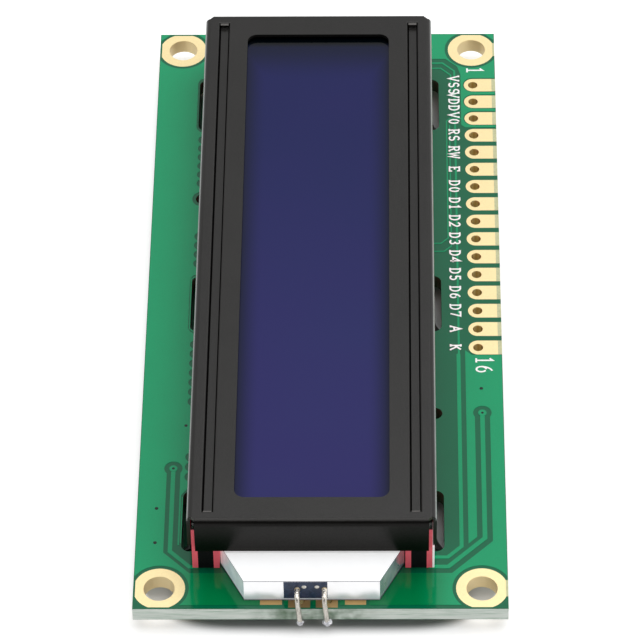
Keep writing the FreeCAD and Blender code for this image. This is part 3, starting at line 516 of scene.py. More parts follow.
# gold of the lamp's pads darkened as painted shade, and patchy painted shade near the lamp
LAMP_GOLD_IN_SHADE = (0.52, 0.33, 0.125)
LAMP_PAD_SHADE = (0.15, 0.10, 0.04)
LAMP_SHADE_REACH = 2.8
LAMP_SHADE_EVEN_SHARE = 0.4
LAMP_SHADE_PATCHY_SHARE = 0.5
BARE_LAMINATE = (0.52, 0.53, 0.31)
BARE_LIFT = 0.006
PIN_BARE_DEPTH = 0.4
MOUNT_BARE_DEPTH = 0.2
MOUNT_BARE_WIDTH = 2.0


def facing_axes(material):
    """X, Y and Z of the way that the surface faces."""
    return split(material, material.node_tree.nodes.new("ShaderNodeNewGeometry").outputs["Normal"])


def painted_bore_light(material):
    """Down a mirroring bore: painted highlights beside the middle, painted shade at the sides."""
    across = arithmetic(material, "ABSOLUTE", facing_axes(material)["Y"], 0.0)
    light = ramp(material, across, *BORE_HIGHLIGHT_SPAN, unit=1.0)
    side = ramp(material, across, *BORE_SIDE_SHADE_SPAN, unit=1.0)
    inner = blend_colours(material, light, BORE_MIDDLE, BORE_HIGHLIGHT)
    return blend_colours(material, side, inner, BORE_SIDE_SHADE)


def plated(name, bore=None, by_lamp=False):
    """Gold plate with soft sheen, a bore colour or painted bore light, painted shade by the lamp.
    """
    material, shader = new_material(name, roughness=0.38, metallic=0.35)
    pattern = grain(material, speck=5000.0, cloud=500.0)
    gold = mottle(material, shader, LAMP_GOLD_IN_SHADE if by_lamp else GOLD, pattern, contrast=0.05)
    axes = object_axes(material)
    # Painted shade by the lamp: darker gold, with darker patches close to the lamp's line.
    if by_lamp:
        shaded_by_lamp = arithmetic(material, "LESS_THAN", distance_from(material, axes["Y"], LAMP_LINE),
                             LAMP_SHADE_REACH * MM)
        patches = scale_and_add(material, pattern["Cloud"], LAMP_SHADE_PATCHY_SHARE, LAMP_SHADE_EVEN_SHARE)
        gold = blend_colours(material, product(material, shaded_by_lamp, patches), gold, LAMP_PAD_SHADE)
    down_bore = arithmetic(material, "LESS_THAN", distance_from(material, axes["Z"], BOARD_MIDDLE),
                           (BOARD_HIGH.z - BOARD_MIDDLE - BORE_RIM) * MM)
    gold = blend_colours(material, down_bore, gold, bore or painted_bore_light(material))
    feed(material, gold, shader, "Base Color")
    roughen(material, shader, pattern["Speck"], depth=0.003)
    return material


def grained(name, colour, roughness, specular=0.5, metallic=0.0, speck=6000.0, cloud=300.0,
            contrast=0.1, bump=0.004, stretch=(1.0, 1.0, 1.0)):
    """Plain finish with some cloudiness and a fine grain of its own, and its shader."""
    material, shader = new_material(name, roughness, specular, metallic)
    pattern = grain(material, speck, cloud, stretch)
    mottle(material, shader, colour, pattern, contrast)
    roughen(material, shader, pattern["Speck"], bump)
    return material, shader


dress(plated("gold_plate", MOUNT_BORE), "mounting_pads")
dress(plated("gold_at_pins"), "header_pads")
dress(plated("gold_at_lamp", by_lamp=True), "backlight_pads")
bare_finish = grained("bare_laminate", BARE_LAMINATE, 0.6, speck=4000.0, contrast=0.15)[0]
strips = bmesh.new()
for number in range(PIN_COUNT):
    pin = PIN_X + PIN_PITCH * number
    ribbon(strips, [(pin, BOARD_HIGH.y - PIN_BARE_DEPTH), (pin, BOARD_HIGH.y)], PIN_PAD_WIDTH,
           BOARD_HIGH.z, BOARD_HIGH.z + BARE_LIFT)
for side in (-1, 1):
    mount = side * (BOARD_HIGH.x - MOUNT_INSET)
    ribbon(strips, [(mount, BOARD_HIGH.y - MOUNT_BARE_DEPTH), (mount, BOARD_HIGH.y)],
           MOUNT_BARE_WIDTH, BOARD_HIGH.z, COPPER_TOP + BARE_LIFT)
place_piece("bare_strips", strips, bare_finish)


# Legend: white ink screened over the mask in narrow letters with small feet, the usual names of the
# sixteen connections and the numbers of the first and last.
INK = (0.95, 0.97, 0.96)
INK_THICKNESS = 0.018
INK_STROKE = 0.18
INK_HAIR = 0.0006
LEGEND_LINE = 13.58
LEGEND_DRIFT = 0.24
LEGEND_HEIGHT = 1.2
LETTER_PITCH = 0.98
LETTER_WIDTH = 0.70
NUMBER_HEIGHT = 1.65
NUMBER_PITCH = 1.2
NUMBERS = (
    # name, figures, middle along and across the board, and width of a figure
    ("legend_first", "1", -34.25, 15.85, 1.0),
    ("legend_last", "16", 8.5, 16.2, 0.95),
)
PIN_NAMES = ("VSS", "VDD", "V0", "RS", "RW", "E", "D0", "D1", "D2", "D3", "D4", "D5", "D6", "D7",
             "A", "K")


def bow(middle_x, middle_y, wide, tall, start, end):
    """Part of an oval, for a letter's round stroke."""
    points = arc((0.0, 0.0), 1.0, start, end, 12)
    return [(middle_x + wide * x, middle_y + tall * y) for x, y in points]


STEM = [(0.15, 0), (0.15, 1)]
STEM_FEET = [[(-0.08, 0), (0.38, 0)], [(-0.08, 1), (0.38, 1)]]
LETTERS = {
    # strokes of each letter in a box one wide and one high
    "V": [[(0, 1), (0.5, 0), (1, 1)], [(-0.15, 1), (0.2, 1)], [(0.8, 1), (1.15, 1)]],
    "S": [bow(0.5, 0.74, 0.38, 0.26, 25, 270), bow(0.5, 0.25, 0.40, 0.25, 90, -155)],
    "D": [STEM, [(-0.08, 1), (0.45, 1)], bow(0.42, 0.5, 0.52, 0.5, 90, -90),
          [(0.45, 0), (-0.08, 0)]],
    "R": [STEM, [(-0.08, 1), (0.5, 1)], bow(0.5, 0.75, 0.36, 0.25, 90, -90),
          [(0.5, 0.5), (0.15, 0.5)], [(0.5, 0.5), (0.88, 0), (1.1, 0)], [(-0.08, 0), (0.38, 0)]],
    "W": [[(-0.05, 1), (0.22, 0), (0.5, 0.8), (0.78, 0), (1.05, 1)], [(-0.2, 1), (0.12, 1)],
          [(0.88, 1), (1.2, 1)]],
    "E": [STEM, [(-0.08, 1), (0.88, 1), (0.88, 0.76)], [(0.15, 0.52), (0.62, 0.52)],
          [(-0.08, 0), (0.92, 0), (0.92, 0.26)]],
    "A": [[(0, 0), (0.5, 1), (1, 0)], [(0.2, 0.36), (0.8, 0.36)], [(-0.15, 0), (0.2, 0)],
          [(0.8, 0), (1.15, 0)]],
    "K": [STEM, [(0.92, 1), (0.15, 0.38)], [(0.42, 0.6), (0.92, 0), (1.1, 0)]] + STEM_FEET,
    "0": [bow(0.5, 0.5, 0.38, 0.5, 90, 420)],
    "1": [[(0.22, 0.82), (0.5, 1), (0.5, 0)], [(0.2, 0), (0.8, 0)]],
    "2": [bow(0.5, 0.72, 0.36, 0.28, 165, -35), [(0.8, 0.56), (0.12, 0), (0.9, 0)]],
    "3": [bow(0.46, 0.75, 0.34, 0.25, 150, -90), bow(0.46, 0.25, 0.38, 0.25, 90, -150)],
    "4": [[(0.7, 0), (0.7, 1), (0.05, 0.3), (0.95, 0.3)]],
    "5": [[(0.85, 1), (0.25, 1), (0.2, 0.56)], bow(0.46, 0.3, 0.4, 0.3, 130, -150)],
    "6": [bow(0.5, 0.3, 0.37, 0.3, 90, 420), bow(0.92, 0.3, 0.79, 0.68, 105, 175)],
    "7": [[(0.1, 0.82), (0.1, 1), (0.9, 1), (0.42, 0)]],
}
ink_finish = grained("white_ink", INK, 0.65, speck=7000.0, contrast=0.06, bump=0.003)[0]


def printed(name, words, middle_x, middle_y, height, pitch, letter_width):
    """Printed word about its middle; each stroke lies a hair above the last."""
    shape = bmesh.new()
    west = middle_x - (pitch * (len(words) - 1) + letter_width) / 2
    layer = 0
    for number, letter in enumerate(words):
        for stroke in LETTERS[letter]:
            layer += 1
            path = [(west + pitch * number + letter_width * x, middle_y + height * (y - 0.5))
                    for x, y in stroke]
            ribbon(shape, path, INK_STROKE, COPPER_TOP,
                   COPPER_TOP + INK_THICKNESS + INK_HAIR * layer)
    place_piece(name, shape, ink_finish)


for number, words in enumerate(PIN_NAMES):
    line = LEGEND_LINE - LEGEND_DRIFT * number / (PIN_COUNT - 1)
    printed("legend_" + words, words, PIN_X + PIN_PITCH * number, line, LEGEND_HEIGHT - INK_STROKE,
            LETTER_PITCH, LETTER_WIDTH)
for name, figures, middle_x, middle_y, figure_width in NUMBERS:
    printed(name, figures, middle_x, middle_y, NUMBER_HEIGHT, NUMBER_PITCH, figure_width)


# Backlight: an acrylic guide wrapped in bright white film, with a diffuser and a white frame above
# it. The film mirrors a little where it is folded down. A painted glow stands in for the light that
# the guide gathers from above and lets out through the film, so it reads brighter than what lies
# round it; the glow is weaker low on the film's front.
WHITE_FILM = (0.80, 0.81, 0.82)
# strength of the painted glow of the film and of the packing film, and the glow's colours
FILM_PAINTED_GLOW = 0.46
PACKING_PAINTED_GLOW = 0.3
TOP_GLOW = (1.0, 1.0, 1.0)
EDGE_GLOW = (0.72, 0.72, 0.72)
EDGE_GLOW_SPAN = (3.3, 0.8)
FRONT_HIGH_GLOW = (1.14, 1.13, 1.15)
FRONT_LOW_GLOW = (0.15, 0.22, 0.22)
FRONT_GLOW_SPAN = (-0.2, 1.0)
RUMPLE = 0.9
FOOT_FLANK_GLOW = (0.42, 0.50, 0.50)
HEADER_FLANK_GLOW = (0.05, 0.08, 0.08)
UPRIGHT_BELOW = 0.5
FRONT_ABOVE = 0.9
HEADER_FLANK_ABOVE = 0.3
FLANK_MIRROR = 0.45
HEADER_FLANK_MIRROR = 0.50
CREASE_SHADE = (0.42, 0.52, 0.58)
FILM_FOLD = (0.012, 0.008, 0.035)
FILM_LIP = (0.42, 0.38, 0.44)
TAIL_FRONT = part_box("reflector_wrap")[1].x / MM
TAIL_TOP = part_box("reflector_wrap")[1].z / MM
TAIL_HALF = 6.5
TAPER_START = 34.4
WRAP_HALF = 8.85
# width and levels of the fold above, of the folds on the flanks and of the lip
TOP_FOLD = (0.03, TAIL_TOP - 0.055, TAIL_TOP - 0.005)
FLANK_FOLD = (0.05, 0.02, 0.16)
LIP = (0.06, 0.02, 0.14)
DIFFUSER_WHITE = (0.88, 0.88, 0.86)
FRAME_WHITE = (0.85, 0.85, 0.83)
ACRYLIC_TINT = (0.93, 0.96, 0.97)


def set_painted_glow(shader, strength, colour=None):
    """Give the surface a painted glow, in a colour unless a pattern feeds that."""
    if colour:
        shader.inputs["Emission Color"].default_value = (*colour, 1.0)
    shader.inputs["Emission Strength"].default_value = strength


def folded_film():
    """White on top; silvery, creased and mirroring on the folded sides; a painted glow all over."""
    material, shader = new_material("white_film", 0.16)
    creases = grain(material, speck=900.0, cloud=420.0, stretch=(1.0, 1.0, 0.5))
    white = mottle(material, shader, WHITE_FILM, creases, contrast=0.03)
    roughen(material, shader, creases["Cloud"], depth=0.02)
    facing = facing_axes(material)
    upright = arithmetic(material, "LESS_THAN",
                         arithmetic(material, "ABSOLUTE", facing["Z"], 0.0), UPRIGHT_BELOW)
    front = arithmetic(material, "GREATER_THAN", facing["X"], FRONT_ABOVE)
    flank = arithmetic(material, "SUBTRACT", upright, front)
    header_flank = product(material, flank, arithmetic(material, "GREATER_THAN", facing["Y"],
                                                       HEADER_FLANK_ABOVE))
    creased = product(material, flank, creases["Speck"])
    feed(material, blend_colours(material, creased, white, CREASE_SHADE), shader, "Base Color")
    mirror = arithmetic(material, "ADD",
                        product(material, flank, creases["Cloud"], FLANK_MIRROR),
                        product(material, header_flank, HEADER_FLANK_MIRROR))
    feed(material, mirror, shader, "Metallic")
    place = object_axes(material)
    towards_front = ramp(material, place["X"], *(TAIL_FRONT - inset for inset in EDGE_GLOW_SPAN))
    glow = blend_colours(material, towards_front, TOP_GLOW, EDGE_GLOW)
    flank_glow = blend_colours(material, header_flank, FOOT_FLANK_GLOW, HEADER_FLANK_GLOW)
    glow = blend_colours(material, upright, glow, flank_glow)
    rumpled = product(material, creases["Cloud"], RUMPLE * MM)
    above = ramp(material, arithmetic(material, "SUBTRACT", place["Z"], rumpled), *FRONT_GLOW_SPAN)
    front_glow = blend_colours(material, above, FRONT_LOW_GLOW, FRONT_HIGH_GLOW)
    feed(material, blend_colours(material, front, glow, front_glow), shader, "Emission Color")
    set_painted_glow(shader, FILM_PAINTED_GLOW)
    return material


dress(folded_film(), "reflector_wrap")
# Packing film beside the strips: white, with a painted glow that lifts it out of the shade it lies
# in.
packing, packing_shader = grained("packing_film", WHITE_FILM, 0.4)
set_painted_glow(packing_shader, PACKING_PAINTED_GLOW, TOP_GLOW)
dress(packing, "strip_shim")
tail_path = [(TAPER_START, WRAP_HALF), (TAIL_FRONT, TAIL_HALF), (TAIL_FRONT, -TAIL_HALF),
             (TAPER_START, -WRAP_HALF)]
tail_path = [(x, y + DISPLAY_LINE) for x, y in tail_path]
fold = bmesh.new()
ribbon(fold, tail_path, *TOP_FOLD)
for flank in (tail_path[:2], tail_path[2:]):
    ribbon(fold, flank, *FLANK_FOLD)
place_piece("film_fold_line", fold, grained("film_fold", FILM_FOLD, 0.4)[0])
lip = bmesh.new()
ribbon(lip, tail_path[1:3], *LIP)
place_piece("film_lip", lip, grained("film_lip", FILM_LIP, 0.4)[0])


def dress_plainly(nodes, *finish, **more):
    """Give nodes a plain finish that no other piece needs."""
    dress(grained(*finish, **more)[0], *nodes)


def clear(name, colour, roughness, share, speck, cloud, bump):
    """Clear body of one colour that lets a share of the light through, with a faint ripple."""
    material, shader = new_material(name, roughness)
    shader.inputs["Base Color"].default_value = (*colour, 1.0)
    shader.inputs["Transmission Weight"].default_value = share
    roughen(material, shader, grain(material, speck, cloud)["Cloud"], bump)
    return material


dress_plainly(["diffuser_sheet"], "diffuser_film", DIFFUSER_WHITE, 0.7)
dress_plainly(["backlight_frame"], "white_plastic", FRAME_WHITE, 0.45)
dress(clear("clear_acrylic", ACRYLIC_TINT, 0.06, share=0.9, speck=3000.0, cloud=500.0,
            bump=0.003), "light_guide")


# Lamp: a block of dark blue resin that holds the backlight's diodes against the end of the guide's
# tail. Two bright bonding spots stand a little out of its face.
LAMP_BLUE = (0.036, 0.056, 0.114)
LAMP_SPOT = (0.95, 0.93, 0.86)
LAMP_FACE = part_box("backlight_led")[1].x / MM
SPOT_RADIUS = 0.24
SPOT_HEIGHT = 1.95
SPOT_LINES = (-1.54, -0.30)
SPOT_SQUASH = (0.5, 1.0, 0.9, 1.0)
dress_plainly(["backlight_led"], "navy_resin", LAMP_BLUE, 0.3, speck=3500.0, cloud=900.0,
              contrast=0.45, bump=0.015)
spot_finish = grained("bright_spot", LAMP_SPOT, 0.3, metallic=0.3)[0]
for number, line in enumerate(SPOT_LINES):
    spot = bmesh.new()
    bmesh.ops.create_uvsphere(spot, u_segments=16, v_segments=10, radius=SPOT_RADIUS,
                              matrix=Matrix.Translation((LAMP_FACE, line, SPOT_HEIGHT))
                              @ Matrix.Diagonal(SPOT_SQUASH))
    place_piece("lamp_spot_%d" % number, spot, spot_finish)


# Leads and solder: tinned wires that leave the lamp's face in a bead and bend over the edge of the
# board, where a lump of solder, frozen in a rough cone, holds each end.
TINNED = (0.74, 0.70, 0.63)
SOLDER = (0.70, 0.70, 0.74)
BEAD_GOLD = (0.80, 0.66, 0.42)
BEAD_RADIUS = 0.29
BEAD_OUT = 0.12
BEAD_HEIGHT = 1.65
BEAD_SQUASH = (0.9, 0.95, 1.1, 1.0)
LEAD_ROOTS = (-2.2, 0.4)
LEAD_ENDS = (-1.94, 0.66)
LUMP_MIDDLE = (40.4, -1.68)
LUMP_HALVES = ((0.40, 0.46, 0.42), (0.44, 0.66, 0.46))
LUMP_WAIST = 0.62
LUMP_RAGGEDNESS = 0.34
LUMP_RAG_SCALE = 2.6
tinned_finish = grained("tinned_wire", TINNED, 0.24, metallic=0.9, speck=4000.0, cloud=1500.0,
                        contrast=0.42, bump=0.03, stretch=(1.0, 1.0, 0.4))[0]
solder_finish = grained("solder", SOLDER, 0.30, metallic=0.7, speck=3500.0, cloud=1800.0,
                        contrast=0.45, bump=0.05)[0]
dress(tinned_finish, "led_lead_anode", "led_lead_cathode")
dress(solder_finish, "resistor_ends", "capacitor_ends")
beads = bmesh.new()
for root in LEAD_ROOTS:
    bmesh.ops.create_uvsphere(beads, u_segments=20, v_segments=12, radius=BEAD_RADIUS,
                              matrix=Matrix.Translation((LAMP_FACE + BEAD_OUT, root, BEAD_HEIGHT))
                              @ Matrix.Diagonal(BEAD_SQUASH))
for face in beads.faces:
    face.smooth = True
bead_finish = grained("tinned_bead", BEAD_GOLD, 0.3, metallic=0.4, speck=3500.0, contrast=0.35)[0]
place_piece("lead_beads", beads, bead_finish)
lumps = bmesh.new()
for end, halves in zip(LEAD_ENDS, LUMP_HALVES):
    lump = bmesh.ops.create_icosphere(lumps, subdivisions=4, radius=1.0)["verts"]
    for vertex in lump:
        narrowing = LUMP_WAIST + (1.0 - LUMP_WAIST) * vertex.co.z
        sample = vertex.co * LUMP_RAG_SCALE + Vector((end, 0.0, 0.0))
        ragged = 1.0 + LUMP_RAGGEDNESS * noise.noise(sample)
        place = (vertex.co.x * narrowing, vertex.co.y * narrowing, vertex.co.z)
        vertex.co = [half * axis * ragged for half, axis in zip(halves, place)]
        vertex.co += Vector((LUMP_MIDDLE[0], end, LUMP_MIDDLE[1]))
for face in lumps.faces:
    face.smooth = True
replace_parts(place_piece("solder_lumps", lumps, solder_finish), "lead_solder")


# Contact strips: a black conductive core between soft pink silicone walls, cut square and squeezed
# between the glass and the board. The silicone is a little clear; a painted glow stands in for the
# light that comes back out of it, and painted shade darkens its top under the glass.
PINK = (0.98, 0.16, 0.22)
# colour and strength of the pink's painted glow, and painted shade for its top
PINK_EMISSION_TINT = (1.0, 0.06, 0.10)
PINK_PAINTED_GLOW = 0.1
PINK_TOP_SHADE = (0.03, 0.004, 0.006)
PINK_TOP_SHADE_SPAN = (0.25, 0.08)
CORE_BLACK = (0.004, 0.004, 0.005)
STRIP_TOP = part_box("strip_walls_upper")[1].z / MM


def pink_finish():
    """Pink with a painted glow, and painted shade on its top where the glass covers it."""
    material, shader = grained("pink_elastomer", PINK, 0.5, speck=2500.0, cloud=500.0, bump=0.01)
    height = object_axes(material)["Z"]
    top_shade = ramp(material, height, *(STRIP_TOP - inset for inset in PINK_TOP_SHADE_SPAN))
    open_pink = shader.inputs["Base Color"].links[0].from_socket
    feed(material, blend_colours(material, top_shade, open_pink, PINK_TOP_SHADE), shader, "Base Color")
    depth = blend_colours(material, top_shade, PINK_EMISSION_TINT, (0.0, 0.0, 0.0))
    feed(material, depth, shader, "Emission Color")
    set_painted_glow(shader, PINK_PAINTED_GLOW)
    return material


dress_plainly(["strip_core_upper", "strip_core_lower"], "black_elastomer", CORE_BLACK, 0.75, 0.15,
              speck=3000.0, contrast=0.3, bump=0.01)
dress(pink_finish(), "strip_walls_upper", "strip_walls_lower")


# Display cell: two thin glasses with a resin seal and a polarizing film on each outer face. Unlit,
# it is a deep indigo that turns greyer at the rim of the window, and painted shade makes it black
# along its far side.
DISPLAY_FAR = (0.006, 0.010, 0.076)
DISPLAY_NEAR = (0.019, 0.021, 0.112)
DISPLAY_VIOLET = (0.019, 0.010, 0.105)
DISPLAY_RIM = (0.002, 0.005, 0.028)
DISPLAY_SHADE = (0.0, 0.001, 0.002)
VIOLET_SHARE = 0.35
WINDOW_HALF_X = 32.2
WINDOW_HALF_Y = 7.45
SIDE_RIM_SPAN = (-2.2, 0.6)
FAR_RIM_SPAN = (6.4, 1.2)
FAR_SHADE_SPAN = (1.45, 0.65)
REAR_INDIGO = (0.04, 0.04, 0.12)
GLASS_TINT = (0.86, 0.95, 0.93)
SEAL_RESIN = (0.35, 0.33, 0.28)


def display_film():
    """Indigo polarizer with its grey rim and the shade of the window's far side."""
    material, shader = new_material("front_film", 0.12, 0.24)
    pattern = grain(material, speck=5000.0, cloud=60.0)
    axes = object_axes(material)
    nearness = ramp(material, axes["X"], -WINDOW_HALF_X, WINDOW_HALF_X)
    tint = blend_colours(material, nearness, DISPLAY_FAR, DISPLAY_NEAR)
    violet = product(material, pattern["Cloud"], VIOLET_SHARE)
    tint = blend_colours(material, violet, tint, DISPLAY_VIOLET)
    side_rim = ramp(material, distance_from(material, axes["Y"], DISPLAY_LINE),
                    *(WINDOW_HALF_Y + offset for offset in SIDE_RIM_SPAN))
    far_rim = ramp(material, axes["X"], *(offset - WINDOW_HALF_X for offset in FAR_RIM_SPAN))
    rim = arithmetic(material, "MAXIMUM", side_rim, far_rim)
    tint = blend_colours(material, rim, tint, DISPLAY_RIM)
    shaded = ramp(material, axes["X"], *(offset - WINDOW_HALF_X for offset in FAR_SHADE_SPAN))
    feed(material, blend_colours(material, shaded, tint, DISPLAY_SHADE), shader, "Base Color")
    roughen(material, shader, pattern["Speck"], depth=0.001)
    return material


dress(display_film(), "front_polarizer")
dress_plainly(["rear_polarizer"], "rear_film", REAR_INDIGO, 0.3)
dress(clear("cell_glass", GLASS_TINT, 0.03, share=0.95, speck=2000.0, cloud=200.0, bump=0.001),
      "front_glass", "rear_glass")
dress_plainly(["cell_seal"], "seal_resin", SEAL_RESIN, 0.5)


# Bezel: one stamped and folded steel sheet with a matte black coat, fine-grained, with a painted
# highlight along its long folds. Two grooves are pressed into its top; strips of painted shade lie
# along the foot of their walls, and bars of painted highlight mark their ends.
COAT = (0.0080, 0.0074, 0.0067)
COAT_GLOSS = 0.28
COAT_SPECULAR = 0.39
# painted highlight on the long folds
FOLD_HIGHLIGHT = (0.27, 0.29, 0.28)
# painted shade along the foot of the groove walls
GROOVE_SHADE_BLACK = (0.002, 0.002, 0.002)
# painted highlight at the groove ends
GROOVE_END_HIGHLIGHT = (0.075, 0.07, 0.065)
BEZEL_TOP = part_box("bezel")[1].z / MM
SKIRT = 11.95
FOLD_SPAN = (0.18, 0.07)
FOLD_DROP = (0.75, 0.5)
FOLD_HIGHLIGHT_EVENLY = 0.7
FLANGE_START = (34.7, 35.0)
FLANGE_DROP = (0.8, 4.0)
FLANGE_MIRROR = 0.58
FLANGE_MIRROR_GAIN = 0.26
GROOVE_LINES = (DISPLAY_LINE - 9.95, DISPLAY_LINE + 9.95)
GROOVE_HALF = 0.525
GROOVE_REACH = 33.95
GROOVE_FLOOR = BEZEL_TOP - 0.45
CREASE_LIFT = 0.03
GROOVE_SHADE_SIDES = (
    # side of the groove, width of its strip of painted shade
    (-1, 0.16),
    (1, 0.11),
)
END_HIGHLIGHT_BARS = (
    # place along the groove, half length and width across, and depths under the bezel's top
    (GROOVE_REACH + 0.04, 0.4, 0.12, 0.01, -0.006),
    (-GROOVE_REACH + 0.15, 0.42, 0.3, 0.05, 0.01),
)


def coat_finish():
    """Matte black coat, painted highlight on the long folds, mirroring a little on the end flanges.
    """
    material, shader = new_material("black_sheet_steel", COAT_GLOSS, COAT_SPECULAR)
    pattern = grain(material, speck=9000.0, cloud=200.0)
    black = mottle(material, shader, COAT, pattern, contrast=0.6)
    axes = object_axes(material)
    # Painted highlight along the long folds, uneven in strength.
    on_fold = product(material,
                      ramp(material, distance_from(material, axes["Y"], DISPLAY_LINE),
                           *(SKIRT - inset for inset in FOLD_SPAN)),
                      ramp(material, axes["Z"], *(BEZEL_TOP - drop for drop in FOLD_DROP)))
    uneven = scale_and_add(material, pattern["Cloud"], 1.0 - FOLD_HIGHLIGHT_EVENLY, FOLD_HIGHLIGHT_EVENLY)
    coat_with_highlight = blend_colours(material, product(material, on_fold, uneven), black, FOLD_HIGHLIGHT)
    feed(material, coat_with_highlight, shader, "Base Color")
    on_flange = ramp(material, distance_from(material, axes["X"]), *FLANGE_START)
    lower = ramp(material, axes["Z"], *(BEZEL_TOP - drop for drop in FLANGE_DROP))
    mirroring = scale_and_add(material, lower, FLANGE_MIRROR_GAIN, FLANGE_MIRROR)
    feed(material, product(material, on_flange, mirroring), shader, "Metallic")
    roughen(material, shader, pattern["Speck"], depth=0.004)
    return material


dress(coat_finish(), "bezel")
# Strips of painted shade, near black, along the foot of each groove wall.
groove_shade_finish = grained("groove_painted_shade", GROOVE_SHADE_BLACK, 0.9, 0.0, contrast=0.3)[0]
groove_shade_strips = bmesh.new()
for line in GROOVE_LINES:
    for side, width in GROOVE_SHADE_SIDES:
        wall = line + side * (GROOVE_HALF - width / 2)
        ribbon(groove_shade_strips, [(-GROOVE_REACH, wall), (GROOVE_REACH, wall)], width, GROOVE_FLOOR,
               GROOVE_FLOOR + CREASE_LIFT)
place_piece("groove_shade_strips", groove_shade_strips, groove_shade_finish)
# Bars of painted highlight at each groove's ends, in place of their lit end walls.
groove_end_bars = bmesh.new()
for line in GROOVE_LINES:
    for place, half, width, low, high in END_HIGHLIGHT_BARS:
        ribbon(groove_end_bars, [(place, line - half), (place, line + half)], width, BEZEL_TOP - low,
               BEZEL_TOP - high)
place_piece("groove_end_bars", groove_end_bars, grained("painted_end_highlight", GROOVE_END_HIGHLIGHT, 0.5)[0])


# Back of the board: two domes of black resin over bare chips, each in a printed ring, tracks that
# fan in from the header, and rows of small resistors and capacitors soldered between tinned ends.
BACK = BOARD_LOW.z
CHIPS = (
    # middle and radius of each dome
    ((-14.0, -1.5), 7.5),
    ((13.5, -1.5), 6.5),
)
FAN_PINS = range(3, 11)
FAN_START = 14.5
FAN_FOOT = 6.0
FAN_END = 4.0
FAN_NARROWING = 0.4
BACK_TRACK = 0.3
LINK_COUNT = 9
LINK_FIRST = -5.5
LINK_SPAN = (-9.0, 9.5)
POWER_TRACK = 0.8
POWER_TRACKS = ((-16.6, 33.0), (-15.2, 31.5))
DAM_GAP = 0.45
DAM_WIDTH = 0.2
DAM_LIFT = 0.01
DAM_ARC = (0, 355, 71)
DOME_BLACK = (0.012, 0.012, 0.013)
RESISTOR_BLACK = (0.02, 0.02, 0.022)
CAPACITOR_TAN = (0.42, 0.3, 0.2)
back_paths = []
fan_middle = CHIPS[0][0][0]
for pin in FAN_PINS:
    start = PIN_X + PIN_PITCH * pin
    end = fan_middle + FAN_NARROWING * (start - fan_middle)
    back_paths.append(([(start, FAN_START), (start, FAN_FOOT + abs(start - end)), (end, FAN_FOOT),
                        (end, FAN_END)], BACK_TRACK))
for number in range(LINK_COUNT):
    line = LINK_FIRST + number
    back_paths.append(([(LINK_SPAN[0], line), (LINK_SPAN[1], line)], BACK_TRACK))
for line, reach in POWER_TRACKS:
    back_paths.append(([(-reach, line), (reach, line)], POWER_TRACK))
back_tracks = bmesh.new()
for path, width in back_paths:
    ribbon(back_tracks, path, width, BACK - COPPER_LIFT, BACK)
place_piece("back_tracks", back_tracks, copper_green)
for number, (middle, radius) in enumerate(CHIPS):
    dam = bmesh.new()
    ribbon(dam, arc(middle, radius + DAM_GAP, *DAM_ARC), DAM_WIDTH, BACK - COPPER_LIFT - DAM_LIFT,
           BACK, closed=True)
    place_piece("dam_ring_%d" % number, dam, ink_finish)
dress_plainly(["controller_blob", "driver_blob"], "black_resin", DOME_BLACK, 0.4,
              speck=1500.0, cloud=250.0, bump=0.02)
dress_plainly(["chip_resistors"], "resistor_black", RESISTOR_BLACK, 0.4)
dress_plainly(["chip_capacitors"], "capacitor_tan", CAPACITOR_TAN, 0.5)


# Floor: pale paper that the module rests on. It shows the photograph's white to the camera and to
# what mirrors it, but not in the module's shadow. Painted shade makes it darker and greener under
# the board, and a painted pool of light lies below the mounting holes.
FLOOR_REACH = 3000.0
FLOOR_COLOUR = (0.64, 0.64, 0.64)
FLOOR_GLOW = 0.55
SHADE_END = (39.4, 40.9)
SHADE_SIDE = (17.0, 18.2)
CORNER_REACH = 14.5
CORNER_INSET = 1.8
CORNER_SHARPNESS = 6.0
FRONT_FLOOR = (36.0, 44.0)
# painted shade, dark green, on the floor below the board, weaker on the header's side
UNDER_BOARD_SHADE = (0.016, 0.090, 0.050)
UNDER_SHADE_REACH = ((36.0, 34.0), (14.4, 13.4))
UNDER_SHADE_HEADER_SHARE = 0.15
# a painted pool of light on the floor below each mounting hole
HOLE_LIGHT = (35.9, 15.7)
HOLE_SPREAD = (3.0, 0.4)
HOLE_SHARE = 0.28


